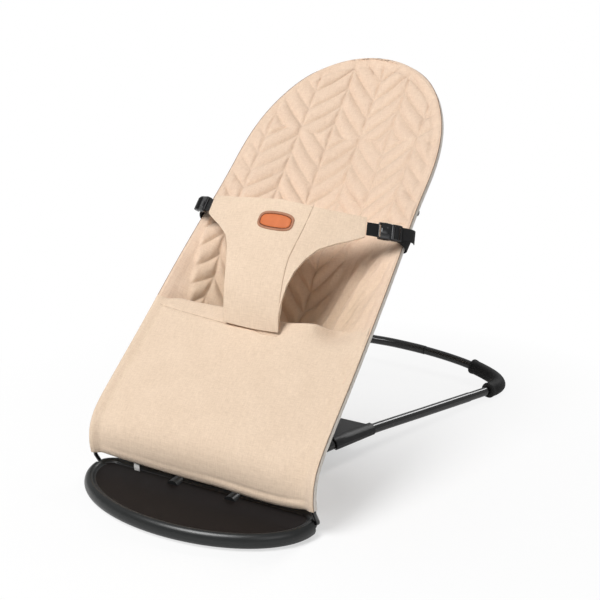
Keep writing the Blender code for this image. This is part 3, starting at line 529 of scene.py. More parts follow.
class NodeWork:
    """A short way to add nodes to a tree."""

    def __init__(self, tree):
        self.tree = tree

    def put(self, value, socket):
        if isinstance(value, bpy.types.NodeSocket):
            self.tree.links.new(value, socket)
        else:
            socket.default_value = value

    def add(self, kind, inputs=(), **settings):
        made = self.tree.nodes.new(kind)
        for key, value in settings.items():
            setattr(made, key, value)
        for key, value in dict(inputs).items():
            self.put(value, made.inputs[key])
        return made

    def calc(self, operation, *values):
        return self.add("ShaderNodeMath", enumerate(values), operation=operation).outputs[0]

    def plus(self, one, two):
        return self.calc("ADD", one, two)

    def minus(self, one, two):
        return self.calc("SUBTRACT", one, two)

    def times(self, one, two):
        return self.calc("MULTIPLY", one, two)

    def times_plus(self, one, two, three):
        return self.calc("MULTIPLY_ADD", one, two, three)

    def mapped(self, source, scale):
        return self.add("ShaderNodeMapping", {"Vector": source, "Scale": scale}).outputs["Vector"]

    def noise(self, source, scale, detail=2.0, roughness=0.5):
        inputs = {"Vector": source, "Scale": scale, "Detail": detail, "Roughness": roughness}
        return self.add("ShaderNodeTexNoise", inputs).outputs["Fac"]

    def between(self, value, low, high, out_low=0.0, out_high=1.0):
        inputs = {"Value": value, "From Min": low, "From Max": high,
                  "To Min": out_low, "To Max": out_high}
        return self.add("ShaderNodeMapRange", inputs).outputs["Result"]

    def blend(self, share, one, two):
        """One colour over another; a colour is a socket or three numbers."""
        made = self.add("ShaderNodeMix", data_type="RGBA")
        colours = [value if isinstance(value, bpy.types.NodeSocket) else (*value, 1.0)
                   for value in (one, two)]
        for key, value in zip(("Factor", "A", "B"), (share, *colours)):
            self.put(value, next(s for s in made.inputs if s.name == key and s.enabled))
        return next(s for s in made.outputs if s.enabled)

    def bump(self, height, distance, strength=1.0, under=None):
        inputs = {"Height": height, "Distance": distance, "Strength": strength}
        if under is not None:
            inputs["Normal"] = under
        return self.add("ShaderNodeBump", inputs).outputs["Normal"]


class Finish(NodeWork):
    """A procedural material."""

    def __init__(self, name, colour, roughness, **sockets):
        self.material = bpy.data.materials.new(name)
        self.material.use_nodes = True
        super().__init__(self.material.node_tree)
        self.shader = self.tree.nodes["Principled BSDF"]
        self.feed(Base_Color=(*colour, 1.0), Roughness=roughness, **sockets)

    def feed(self, **sockets):
        for key, value in sockets.items():
            self.put(value, self.shader.inputs[key.replace("_", " ")])

    def object_space(self):
        return self.add("ShaderNodeTexCoord").outputs["Object"]

    def cloth_space(self):
        """Across and along on the flat cloth, in metres."""
        flat = self.add("ShaderNodeUVMap", uv_map="cloth").outputs["UV"]
        apart = self.add("ShaderNodeSeparateXYZ", {"Vector": flat}).outputs
        return flat, apart["X"], apart["Y"]


def scaled(colour, share):
    return tuple(part * share for part in colour)


def linen(name, pale, deep, quilted=False):
    """Woven melange cloth: uneven warp and weft threads, soft slubs, a little fuzz."""
    made = Finish(name, pale, 0.92, Sheen_Weight=0.25, Sheen_Roughness=0.5)
    flat, across, along = made.cloth_space()

    def streaks(fine, drawn_out):
        return made.plus(made.noise(made.mapped(flat, (fine, drawn_out, 1.0)), 1.0),
                         made.noise(made.mapped(flat, (drawn_out, fine, 1.0)), 1.0))

    fibre, cloud = made.noise(flat, 2600.0, 1.0), made.noise(flat, 22.0, 3.0)
    threads = made.times_plus(streaks(1 / THREAD, 60.0), 0.5, made.times(fibre, 0.25))
    slubs = made.between(streaks(620.0, 110.0), 0.70, 1.30)
    tone = made.times_plus(slubs, 0.5, made.times(made.between(threads, 0.40, 0.86), 0.5))
    tone = made.times_plus(made.minus(cloud, 0.5), 0.45, tone)
    colour = made.blend(tone, deep, pale)
    over, under = (made.calc("SINE", made.times(way, pi / THREAD)) for way in (across, along))
    weave = made.times_plus(made.times(over, under), 0.5, threads)
    normal = made.bump(weave, 0.00022, 0.55)
    if quilted:
        # Painted shade: down in the pocket the cloth's colour is made darker and yellower, where shade
        # falls
        sides = made.times(made.between(across, *PAINTED_SHADE_LEFT), made.between(across, *PAINTED_SHADE_RIGHT))
        pocket = made.times(made.between(along, *PAINTED_SHADE_TOP), sides)
        deep_painted_shade, pale_painted_shade = ([part * share for part, share in zip(shade, POCKET_PAINTED_SHADE)]
                            for shade in (deep, pale))
        colour = made.blend(pocket, colour, made.blend(tone, deep_painted_shade, pale_painted_shade))
        crease = quilt_crease(made, across, along)
        # Painted shade: the colour is darkened along the stitch lines, where the quilting dips
        colour = made.blend(made.times(crease, 0.16), colour, scaled(deep, 0.66))
        normal = made.bump(made.times(crease, -1.0), 0.0006, 0.8, normal)
    made.feed(Base_Color=colour, Normal=normal, Roughness=made.between(threads, 0.3, 0.9, 0.86, 0.98))
    return made.material


def quilt_crease(made, across, along):
    """How near a stitch line of the herringbone is, 1 on the line; the same rule as quilt_cell."""
    lower, upper = (turn_along(count) for count in TURN_COUNTS)
    share = made.between(along, DRIFT_TOP, DRIFT_TOP - DRIFT_RUN)
    eased = made.times(made.times(share, share), made.minus(3.0, made.times(share, 2.0)))
    shifted = made.minus(across, made.times(eased, STEM_DRIFT))
    steps = made.calc("DIVIDE", made.minus(shifted, STEM_START), STEM_PITCH)
    flipped = made.times(made.calc("GREATER_THAN", along, lower), made.calc("LESS_THAN", along, upper))
    from_peak = made.calc("ABSOLUTE", made.minus(made.calc("PINGPONG", steps, 1.0), flipped))
    bow = made.times(made.calc("SINE", made.times(from_peak, pi)), LEAF_BOW)
    drop = made.times(made.plus(from_peak, bow), STEM_PITCH)
    leaf = made.calc("DIVIDE", made.plus(made.minus(along, LEAF_SHIFT), drop), LEAF_PITCH)
    to_line = made.times(made.calc("PINGPONG", leaf, 0.5), LEAF_PITCH * 0.7)
    to_stem = made.times(made.calc("PINGPONG", steps, 0.5), STEM_PITCH)
    line = made.between(made.calc("MINIMUM", to_line, to_stem), 0.0, 0.0042, 1.0, 0.0)
    mask = made.add("ShaderNodeAttribute", attribute_name="quilting").outputs["Fac"]
    return made.times(made.times(line, line), mask)


def moulded(name, colour, roughness, grain=2200.0, depth=0.00004, wear=0.35, **sockets):
    """Moulded plastic, rubber or paint: fine grain, slight unevenness, faint rubbed patches."""
    made = Finish(name, colour, roughness, **sockets)
    spot = made.object_space()
    fine, broad = made.noise(spot, grain), made.noise(spot, 14.0, 4.0, 0.6)
    rubbed = made.between(broad, 0.48, 0.78, 0.0, wear)
    patches = made.times_plus(broad, 0.7, made.times(fine, 0.3))
    made.feed(Base_Color=made.blend(rubbed, colour, tuple(part * 1.7 + 0.004 for part in colour)),
              Roughness=made.between(patches, 0.25, 0.75, roughness * 0.82, roughness * 1.22),
              Normal=made.bump(fine, depth))
    return made.material


def webbing(name):
    """Ribbed black tape: ribs across its width, cords along it, a little fibre."""
    made = Finish(name, (0.008, 0.008, 0.009), 0.75, Sheen_Weight=0.04, Specular_IOR_Level=0.25)
    flat, across, along = made.cloth_space()
    ribs = made.calc("SINE", made.times(along, 2 * pi / 0.0016))
    cords = made.calc("SINE", made.times(across, 2 * pi / 0.0011))
    fibre = made.noise(flat, 2400.0, 1.0)
    height = made.times_plus(cords, 0.45, made.times_plus(fibre, 0.8, ribs))
    # Painted shade and highlight: the colour follows the bump's height, darker in the hollows between
    # ribs and cords and lighter on their tops; the fibre noise in it is a random tone
    tone = made.between(height, -1.2, 1.8)
    made.feed(Base_Color=made.blend(tone, (0.0025, 0.0025, 0.0027), (0.013, 0.013, 0.0135)),
              Normal=made.bump(height, 0.00030, 0.9))
    return made.material


def leather(name, pale, deep):
    made = Finish(name, pale, 0.58, Specular_IOR_Level=0.22)
    spot = made.object_space()
    cells = made.add("ShaderNodeTexVoronoi", {"Vector": spot, "Scale": 1100.0}).outputs["Distance"]
    broad = made.between(made.noise(spot, 60.0, 3.0), 0.3, 0.7)
    made.feed(Base_Color=made.blend(broad, deep, pale), Normal=made.bump(cells, 0.00012, 0.6))
    return made.material


def thread(name, colour):
    made = Finish(name, colour, 0.75)
    twist = made.noise(made.object_space(), 3000.0, 1.0)
    made.feed(Base_Color=made.blend(twist, scaled(colour, 0.7), colour),
              Normal=made.bump(twist, 0.0001, 0.6))
    return made.material


def brushed(name, colour, roughness):
    made = Finish(name, colour, roughness, Metallic=1.0)
    streak = made.noise(made.mapped(made.object_space(), (900.0, 120.0, 900.0)), 1.0)
    made.feed(Base_Color=made.blend(streak, scaled(colour, 0.7), colour),
              Normal=made.bump(streak, 0.00002))
    return made.material


finishes = {
    "beige_cloth": linen("beige_linen", (0.835, 0.668, 0.513), (0.650, 0.492, 0.358)),
    "quilted_cloth": linen("quilted_linen", (0.870, 0.680, 0.526), (0.690, 0.500, 0.368), True),
    "backing_cloth": linen("backing_linen", (0.720, 0.640, 0.550), (0.550, 0.470, 0.390)),
    "channel_cloth": linen("channel_linen", (0.880, 0.830, 0.760), (0.720, 0.660, 0.590)),
    "plate": moulded("plate_black", (0.009, 0.010, 0.010), 0.30, wear=0.2, Specular_IOR_Level=0.45),
    "mat": moulded("plate_mat", (0.0075, 0.0052, 0.0048), 0.48, 1400.0, 0.00008, 0.4,
                   Specular_IOR_Level=0.14),
    "plastic": moulded("black_plastic_grain", (0.011, 0.011, 0.012), 0.38, Specular_IOR_Level=0.35),
    "gloss": moulded("gloss_black_plastic", (0.006, 0.006, 0.007), 0.15, depth=0.00002, wear=0.2),
    "paint": moulded("gloss_black_paint", (0.005, 0.005, 0.005), 0.17, 700.0, 0.00002, 0.15,
                     Coat_Weight=0.3, Coat_Roughness=0.06),
    "rubber": moulded("black_rubber", (0.009, 0.009, 0.009), 0.60, 1600.0, 0.00008,
                      Specular_IOR_Level=0.30),
    "nylon": moulded("dark_nylon", (0.060, 0.060, 0.062), 0.45),
    "zinc": brushed("zinc_plate", (0.55, 0.55, 0.56), 0.35),
    "dark_zinc": brushed("blackened_zinc", (0.045, 0.045, 0.047), 0.42),
    "tape": linen("white_tape_weave", (0.82, 0.81, 0.79), (0.70, 0.69, 0.67)),
    "webbing": webbing("black_webbing_ribs"),
    "leather": leather("tan_leather_field", (0.640, 0.180, 0.062), (0.560, 0.150, 0.050)),
    "leather_edge": leather("tan_leather_band", (0.440, 0.215, 0.130), (0.360, 0.170, 0.100)),
    "edge_thread": thread("edge_thread", (0.330, 0.200, 0.130)),
    "brown_thread": thread("brown_thread", (0.110, 0.026, 0.010)),
    "tan_thread": thread("tan_thread", (0.620, 0.450, 0.330)),
}


# Cloth surfaces of the seat

def quilt_cell(across, along):
    """Steps across the stems, distance from a peak stem (0 to 1) and leaf number."""
    drift = STEM_DRIFT * ease((DRIFT_TOP - along) / DRIFT_RUN)
    steps = (across - drift - STEM_START) / STEM_PITCH
    from_peak = abs((steps + 1) % 2 - 1)
    if turn_along(TURN_COUNTS[0]) < along < turn_along(TURN_COUNTS[1]):
        from_peak = 1 - from_peak
    drop = STEM_PITCH * (from_peak + LEAF_BOW * sin(pi * from_peak))
    return steps, from_peak, (along - LEAF_SHIFT + drop) / LEAF_PITCH


def quilting_here(across, along):
    """1 where the seat is quilted, falling to 0 on its plain margins."""
    left, right = (read_table(QUILT_LIMITS, along, column) for column in (1, 2))
    inside = min(across - left, right - across, along - QUILT_LOWER_END)
    return ease(inside / 0.007 + 0.2)


def puff(across, along, rim):
    """How far the quilting stands off the cloth there."""
    steps, from_peak, leaf = quilt_cell(across, along)
    line = abs(leaf % 1 - 0.5) * 2
    ridge = max(1 - line * line, 0.0) ** 0.95
    end = min(min(from_peak, 1 - from_peak) * STEM_PITCH / 0.009, 1.0)
    tip = (1 - (1 - end) ** 2) ** 0.6
    own = 0.88 + 0.44 * uneven(floor(steps) * 3.7, floor(leaf) * 2.3, 0.5)
    pucker = 0.16 * uneven(across * 190, along * 190, 1.0) * (0.4 + 0.6 * line)
    height = PUFF_HEIGHT * mix(1.0, POCKET_PUFF, ease((0.40 - along) / 0.10)) * ridge * tip
    return height * (own + pucker) * quilting_here(across, along) * rim


def seat_shape(share, along):
    """The seat's depth from rail to rail, 1 at its deepest; the pocket ramps up to the right."""
    gentle = cos(share * pi / 2) ** 2
    steep = max(1 - max(-share, 0.0) ** 2.6, 0.0) ** 1.25
    ramp = max(cos(max(share - 0.12, 0.0) / 0.88 * pi / 2), 0.0) ** 1.35
    return mix(gentle, steep * ramp, ease((POCKET_END - along) / 0.08))


def wrinkles(across, along):
    """Soft unevenness, with long creases on the plain right wall of the pocket."""
    start = read_table(QUILT_LIMITS, along, 2)
    wall = ease((across - start) / 0.025) * ease((0.37 - along) / 0.05) * ease((0.178 - across) / 0.02)
    wall *= ease((along - 0.202) / 0.022)
    crease = uneven(across * 70 - along * 22, along * 13, 5.0)
    fine = uneven(across * 130 - along * 60, along * 40, 6.0)
    return 0.0007 * uneven(across * 16, along * 16, 3.0) + wall * (0.0042 * crease + 0.0020 * fine)


def rail_tree():
    tree = kdtree.KDTree(2 * RAIL_SAMPLES)
    for step, station in enumerate(spread(0.0, TOP_STATION, RAIL_SAMPLES - 1)):
        tree.insert(loop_at(station), step)
        tree.insert(to_side(loop_at(station), -1), step + RAIL_SAMPLES)
    tree.balance()
    return tree


RAILS = rail_tree()


def rail_distance(across, level_with):
    """How far from the nearest rail a place across is, as high and as far back as a point."""
    return RAILS.find(Vector((across, level_with.y, level_with.z)))[2]


def wrapped_point(station, side, turn, radius):
    """A point on the cloth where it goes over the rail; turn is 0 on top, growing outwards."""
    here, inward, off = rail_frame(station)
    return to_side(here + (off * cos(turn) - inward * sin(turn)) * radius, side)


def wrap_turn(station):
    """How far the cloth reaches over the wire, further round the top of the head."""
    return mix(WRAP_TURN, HEAD_WRAP_TURN, ease((station - TOP_STATION + 8) / 7))


def quilt_base(station, share, level):
    """The seat cloth between the rails, before its quilting."""
    edge = loop_at(station)
    along = along_of(edge)
    depth = read_table(SEAT_DEPTH, along) * seat_shape(share, along)
    tucked = 0.0066 * (1.0 - ease((along - 0.206) / 0.028)) * (1 - ease((abs(share) - 0.85) / 0.13))
    tucked *= 1 - ease((share - 0.35) / 0.25)
    flat = Vector((edge.x * share, edge.y, edge.z))
    near = rail_distance(flat.x, flat)
    depth *= mix(1.0, ease(near / 0.05), ease((along - 0.60) / 0.05))
    rise = (rail_radius(station) + level) * ease(1 - near / RIM_REACH)
    return flat - OFF_SEAT * (depth + tucked) + OFF_SEAT * rise


def row_station(first, v):
    """Even rows up the seat; near the top, where the rail runs across, they follow the rise."""
    head, last = 3.0, 0.04
    split = 1 - head / 2 / (TOP_STATION - first - head / 2)
    if v < split:
        return mix(first, TOP_STATION - head, v / split)
    return TOP_STATION - sqrt(mix(head * head, last * last, (v - split) / (1 - split)))


def snapped(across, along, share, station, edge):
    """Move a grid point onto the stitch line that runs just beside it."""
    steps, _, leaf = quilt_cell(across, along)
    if quilting_here(across, along) < 0.05:
        return across, along, share, station
    to_stem = (steps - round(steps)) * STEM_PITCH
    if abs(to_stem) < 0.0011:
        across -= to_stem
        share = across / max(edge.x, 1e-6)
        leaf = quilt_cell(across, along)[2]
    to_line = (leaf - round(leaf)) * LEAF_PITCH
    rate = along_of(loop_at(min(station + 0.05, TOP_STATION))) - along_of(loop_at(station - 0.05))
    if abs(to_line) < 0.0013 and rate > 0.0008:
        along -= to_line
        station = min(station - to_line * 0.1 / rate, TOP_STATION - 0.04)
    return across, along, share, station


def make_quilted_seat():
    columns, rows, wrap_columns = 168, 300, 5
    first = station_of(QUILT_START_ALONG)
    bm = grid(columns + 2 * wrap_columns, rows)
    reach = 1 + 2 * wrap_columns / columns
    flat, mask, heights = [], [], []
    for vert in bm.verts:
        share = vert.co.x * reach
        station = row_station(first, (vert.co.y + 1) / 2)
        edge = loop_at(station)
        across, along = edge.x * share, along_of(edge)
        if abs(share) > 1.0001:
            side = 1 if share > 0 else -1
            turn = wrap_turn(station) * (abs(share) - 1) / (reach - 1)
            radius = rail_radius(station) + QUILT_LEVEL
            vert.co = wrapped_point(station, side, turn, radius)
            flat.append((side * (edge.x + turn * radius), along))
            mask.append(0.0)
            heights.append(0.0)
            continue
        if rail_distance(across, edge) > 0.004:
            across, along, share, station = snapped(across, along, share, station, edge)
        vert.co = quilt_base(station, share, QUILT_LEVEL)
        near = rail_distance(across, vert.co)
        rim = ease((near - 0.0025) / mix(0.0065, 0.0140, ease((along - 0.40) / 0.08)))
        flat.append((across, along))
        mask.append(quilting_here(across, along) * rim)
        heights.append(puff(across, along, rim) + wrinkles(across, along) * rim + QUILT_LIFT * rim)
    bm.normal_update()
    for vert, height in zip(bm.verts, heights):
        vert.co += vert.normal * height
    layer = bm.verts.layers.float.new("quilting")
    for vert, value in zip(bm.verts, mask):
        vert[layer] = value
    item = cloth_piece("quilted_seat_cover", bm, flat, "quilted_cloth",
                       thickness=0.0016, weld=0.00005)
    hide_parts("quilted_seat")
    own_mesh(item)


def make_seat_backing():
    """The plain cloth behind the quilting, drawn in a little along the stems."""
    first = station_of(QUILT_START_ALONG)
    bm = grid(72, 110)
    flat = []
    for vert in bm.verts:
        share = vert.co.x
        station = mix(first, TOP_STATION - 0.3, (vert.co.y + 1) / 2)
        edge = loop_at(station)
        across, along = edge.x * share * BACKING_SHARE, along_of(edge)
        steps = quilt_cell(across, along)[0]
        drawn = 0.0012 * (1 - abs(steps - round(steps)) * 2) ** 2 * quilting_here(across, along)
        spot = quilt_base(station, share * BACKING_SHARE, BACKING_LEVEL)
        vert.co = spot - OFF_SEAT * (BACKING_DROP - drawn)
        flat.append((across, along))
    item = cloth_piece("seat_backing", bm, flat, "backing_cloth",
                       thickness=0.0010)
    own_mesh(item)


def seam_along(across):
    """Where the front panel's seam runs."""
    return SEAM_ALONG + SEAM_RISE * (abs(across) / SEAM_RISE_ACROSS) ** 1.6


def front_lengths():
    """The front panel's run up the rail, station by station, in metres."""
    stations = spread(1.0, station_of(FRONT_TOP_ALONG), 240)
    return list(zip(path_lengths([loop_at(station) for station in stations]), stations))


FRONT_RUNS = front_lengths()
FRONT_LENGTH = FRONT_RUNS[-1][0]


def front_point(share, run):
    """The front panel: share is -1 to 1 between the rails, run is the way up from the hem."""
    over = max(run - FRONT_LENGTH, 0.0)
    station = read_table(FRONT_RUNS, min(run, FRONT_LENGTH))
    edge, _, off = rail_frame(station)
    v = run / FRONT_LENGTH
    crown = 0.0060 * (1 - share * share) * ease(v / 0.5)
    fullness = 1 - abs(share) ** mix(2.0, 6.0, ease(share / 0.6))
    droop = mix(0.0058, 0.0098, ease(share / 0.7)) * fullness * (1 - ease(v / 0.25))
    spot = Vector((edge.x * share, edge.y, edge.z - droop)) + off * crown
    across, along = spot.x, along_of(edge)
    rise = (rail_radius(station) + FRONT_LEVEL) * ease(1 - edge.x * (1 - abs(share)) / RIM_REACH)
    spot += off * rise
    past = along - seam_along(across)
    if run > FRONT_LENGTH * 0.5:
        groove = 0.0016 * max(0.0, 1 - abs(past) / 0.0022)
        groove *= ease((SEAM_RIGHT_END + 0.004 - across) / 0.006)
        left = ease((0.02 - across) / 0.05) * ease((1 - abs(share)) / 0.10)
        sunk = 0.0045 * left * ease((past - 0.001) / 0.022)
        tuck = 0.0012 * ease((past + 0.016) / 0.010) * (1 - ease((past + 0.003) / 0.006))
        spot -= off * (groove * (1 - ease((abs(share) - 0.93) / 0.05)) + sunk)
        spot += off * tuck * ease((SEAM_RIGHT_END - across) / 0.02) * (1 - share * share)
    if over:
        depth = min(0.020, 0.55 * read_table(SEAT_DEPTH, 0.2) * seat_shape(share, 0.2))
        turn = min(over / ROLL_LENGTH, 1.0) * pi / 2
        spot += UPHILL * (ROLL_RADIUS * sin(turn) * ease((1 - abs(share)) / 0.2))
        spot -= off * depth * (1 - cos(turn))
    spot -= UPHILL * (0.008 * ease((0.10 - across) / 0.06) * ease(across / 0.02) * ease((v - 0.80) / 0.2))
    joined = ease((share - 0.50) / 0.22) * ease((run - FRONT_LENGTH + 0.032) / 0.040)
    if joined:
        wall = quilt_base(station_of(along + 0.9 * over), share, QUILT_LEVEL)
        lift = QUILT_LIFT + 0.0010 * (1 - ease(over / ROLL_LENGTH * 1.1))
        lift -= 0.0012 * ease(over / ROLL_LENGTH)
        spot = spot.lerp(wall + OFF_SEAT * lift, joined)
    return spot, off


def front_creases(across, run):
    """Slight slackness: a folded hem, faint drags from the lower corners, a slack upper corner."""
    soft = 0.0008 * uneven(across * 9, run * 9, 7.0)
    drag = 0.0005 * uneven(across * 40, run * 10, 8.0) * (1 - ease(run / 0.10))
    hem = 0.0016 * ease(run / 0.005) * (1 - ease((run - 0.009) / 0.004))
    hem -= 0.0007 * max(0.0, 1 - abs(run - 0.0145) / 0.003)
    hem *= mix(0.35, 1.0, ease((across + 0.02) / 0.08))
    corner = 0.0016 * uneven(across * 55 - run * 45, run * 14, 9.0)
    corner *= ease((across - 0.06) / 0.05) * ease((run - FRONT_LENGTH + 0.06) / 0.05)
    return soft + drag + hem + corner


def make_front_panel():
    columns, rows, wrap_columns = 120, 150, 4
    bm = grid(columns + 2 * wrap_columns, rows)
    reach = 1 + 2 * wrap_columns / columns
    flat = []
    for vert in bm.verts:
        share = vert.co.x * reach
        run = (FRONT_LENGTH + ROLL_LENGTH) * (vert.co.y + 1) / 2
        across = FRONT_HALF * share
        if abs(share) > 1.0001:
            side = 1 if share > 0 else -1
            station = read_table(FRONT_RUNS, min(run, FRONT_LENGTH))
            radius = rail_radius(station) + FRONT_LEVEL
            radius -= 0.0012 * ease((run - FRONT_LENGTH) / ROLL_LENGTH)
            turn = WRAP_TURN * (abs(share) - 1) / (reach - 1)
            vert.co = wrapped_point(station, side, turn, radius)
            across = side * (FRONT_HALF + turn * radius)
        else:
            spot, off = front_point(share, run)
            vert.co = spot + off * (front_creases(spot.x, run) * ease((1 - abs(share)) / 0.12))
        flat.append((across, run - FRONT_WEAVE_START))
    item = cloth_piece("front_panel_cloth", bm, flat, "beige_cloth",
                       thickness=0.0018)
    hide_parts("front_panel")


def make_edge_channel():
    """The cloth channel round the wire, puckered along its seam."""
    stations = spread(1.0, TOP_STATION, 560)
    spots = [loop_at(station) for station in stations]
    path = mirrored(spots, -1) + spots[-2::-1]
    stations += stations[-2::-1]

    def radius(index, turn):
        ripple = noise.noise(path[index] * 170 + Vector((0, 0, turn)))
        return rail_radius(stations[index]) + 0.00022 * ripple

    bm = bmesh.new()
    bm.from_mesh(rings_mesh("edge_channel_cloth", tube_rings(path, radius, CHANNEL_SIDES)))
    bm.verts.index_update()
    flat = [(index % CHANNEL_SIDES * 0.0022, index // CHANNEL_SIDES * 0.0016)
            for index in range(len(bm.verts))]
    item = cloth_piece("edge_channel_cloth", bm, flat, "channel_cloth")
    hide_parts("edge_channel")


def seam(name, path, radius, finish):
    """A line of stitching, drawn as one thin thread."""
    new_piece(name, rings_mesh(name, tube_rings(path, radius, 6)), finish, "seat")


def make_edge_seam():
    """The brown seam line along the outside of the seat's edge."""
    left, right = ([wrapped_point(s, side, wrap_turn(s) + 0.05, rail_radius(s) + 0.0008)
                    for s in spread(1.0, TOP_STATION - 0.02, 420)] for side in (-1, 1))
    seam("edge_seam", left + right[::-1], 0.00042, "edge_thread")


def make_front_seam():
    path = []
    for share in spread(-0.955, SEAM_RIGHT_END / SEAM_HALF, 139):
        target = seam_along(SEAM_HALF * share)
        run = last_below(FRONT_LENGTH * 0.6, FRONT_LENGTH,
                         lambda run: along_of(loop_at(read_table(FRONT_RUNS, run))) < target, 24)
        spot, off = front_point(share, run)
        path.append(spot + off * 0.0004)
    seam("front_seam", path, 0.00055, "tan_thread")


def restraint_off(across, along):
    """The restraint's height off the seat plane: its table read smoothly, and domed."""
    reads = [read_table(RESTRAINT, along + shift, 2) for shift in (-0.004, -0.002, 0.0, 0.002, 0.004)]
    dome = RESTRAINT_DOME * ease((along - RESTRAINT[0][0]) / 0.08)
    return sum(reads) / len(reads) - dome * (across / RESTRAINT_HALF) ** 2


def restraint_flat(u, v):
    """Across and along for a place on the restraint; v is 0 at the crotch and 1 at the top."""
    first, last = RESTRAINT[0][0], RESTRAINT[-1][0]
    along = mix(first, last, v)
    across = read_table(RESTRAINT, along, 1) * u
    rise = 0.006 * (abs(across) / RESTRAINT_HALF) ** 3 - 0.002 * sin(pi * abs(across) / RESTRAINT_HALF)
    along += rise * ease((v - 0.75) / 0.25)
    along += (seam_along(across) - first) * (1 - ease(v / 0.10))
    return across, along


def restraint_point(across, along):
    spot = seat_point(across, along, restraint_off(across, along))
    return spot + OFF_SEAT * (0.0009 * uneven(across * 14, along * 14, 11.0))


def make_restraint():
    bm = grid(96, 96)
    flat = []
    for vert in bm.verts:
        across, along = restraint_flat(vert.co.x, ((vert.co.y + 1) / 2) ** 0.9)
        groove = 0.0010 * max(0.0, 1 - abs(across - read_table(RESTRAINT_SEAM, along)) / 0.0016)
        vert.co = restraint_point(across, along) - OFF_SEAT * groove
        flat.append((across, along))
    item = cloth_piece("restraint_cloth", bm, flat, "beige_cloth",
                       RESTRAINT_THICKNESS, 0.0)
    add_bevel(item, 0.0016, 3, 60)
    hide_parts("restraint_panel")


def make_restraint_seam():
    path = [restraint_point(read_table(RESTRAINT_SEAM, along), along)
            + OFF_SEAT * (RESTRAINT_THICKNESS / 2 - 0.0001) for along in spread(0.205, 0.357, 119)]
    seam("restraint_seam", path, 0.00038, "tan_thread")


def stitches(name, path, normals, finish):
    """A row of small thread stitches lying along a path."""
    bm = bmesh.new()
    travelled, next_start = 0.0, 0.0
    for before, after, normal in zip(path, path[1:], normals):
        step = after - before
        while next_start <= travelled + step.length:
            centre = before + step * ((next_start - travelled) / max(step.length, 1e-9))
            along = step.normalized()
            across = normal.cross(along).normalized()
            turned = Matrix((along, across, along.cross(across))).transposed().to_4x4()
            bead = bmesh.ops.create_icosphere(bm, subdivisions=1, radius=1.0)["verts"]
            bmesh.ops.scale(bm, vec=(STITCH_LENGTH / 2, STITCH_RADIUS * 1.2, STITCH_RADIUS), verts=bead)
            bmesh.ops.transform(bm, matrix=Matrix.Translation(centre) @ turned, verts=bead)
            next_start += STITCH_LENGTH + STITCH_GAP
        travelled += step.length
    new_piece(name, to_mesh(bm, name), finish, "seat")


def patch_outline(inset, steps=72):
    """The patch's rounded outline, a little pointed at both ends, moved in by inset."""
    ring = []
    for step in range(steps):
        turn = 2 * pi * (step + 0.5) / steps
        x = (PATCH_HALF[0] - inset) * abs(cos(turn)) ** 0.72 * (1 if cos(turn) > 0 else -1)
        y = (PATCH_HALF[1] - inset) * abs(sin(turn)) ** 0.60 * (1 if sin(turn) > 0 else -1)
        ring.append((x, y))
    return ring


def patch_spot(x, y, height):
    along = PATCH_ALONG + y
    beside = restraint_point(x + 0.002, along) - restraint_point(x - 0.002, along)
    above = restraint_point(x, along + 0.002) - restraint_point(x, along - 0.002)
    outward = beside.cross(above).normalized()
    return restraint_point(x, along) + outward * (RESTRAINT_THICKNESS / 2 + height)


def make_patch():
    """A blank leather patch: raised band, sunk stitching line, brighter field."""
    rings = [[patch_spot(x, y, up) for x, y in patch_outline(inset)] for inset, up in PATCH_PROFILE]
    mesh = rings_mesh("leather_patch_body", rings)
    item = new_piece("leather_patch_body", mesh, "leather", "seat")
    mesh.materials.append(finishes["leather_edge"])
    for face in mesh.polygons[:len(rings[0]) * PATCH_BAND_RINGS]:
        face.material_index = 1
    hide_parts("leather_patch")
    ring = patch_outline(0.0042, 96)
    path = [patch_spot(x, y, 0.0010) for x, y in ring + ring[:1]]
    normals = [(patch_spot(x, y, 0.002) - patch_spot(x, y, 0.0)).normalized() for x, y in ring]
    stitches("patch_stitching", path, normals, "brown_thread")


# Webbing

def belt_frame(side):
    """A buckled belt's own axes: along it from the panel's end, across it and off its face."""
    inner, outer = seat_point(*BELT_INNER), seat_point(*BELT_OUTER)
    low_end = seat_point(0.134, 0.331, 0.0715 - RESTRAINT_DOME * (0.134 / RESTRAINT_HALF) ** 2)
    high_end = seat_point(0.130, 0.360, 0.0790 - RESTRAINT_DOME)
    along = (outer - inner).normalized()
    across = high_end - low_end
    across = (across - along * across.dot(along)).normalized()
    face = along.cross(across)
    if side < 0:
        inner, along, face = mirrored((inner, along, face), -1)
        across = -to_side(across, -1)
    turned = Matrix((along, across, face)).transposed().to_4x4()
    return Matrix.Translation(inner) @ turned


def strap(name, path, width, node=None, thickness=0.0013, finish="webbing"):
    """Flat webbing along a path, with rounded edges."""
    fine = smooth_path(path, 6)
    lengths = path_lengths(fine)
    bm = grid(8, len(fine) - 1)
    ways = sorted({round(vert.co.y, 5) for vert in bm.verts})
    flat = []
    for vert in bm.verts:
        row, x = ways.index(round(vert.co.y, 5)), vert.co.x
        flat.append((x * width.length / 2, lengths[row]))
        vert.co = fine[row] + width * (x / 2)
    item = cloth_piece(name, bm, flat, finish, thickness, 0.0)
    add_bevel(item, 0.0005, 2, 60)
    if node:
        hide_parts(node)


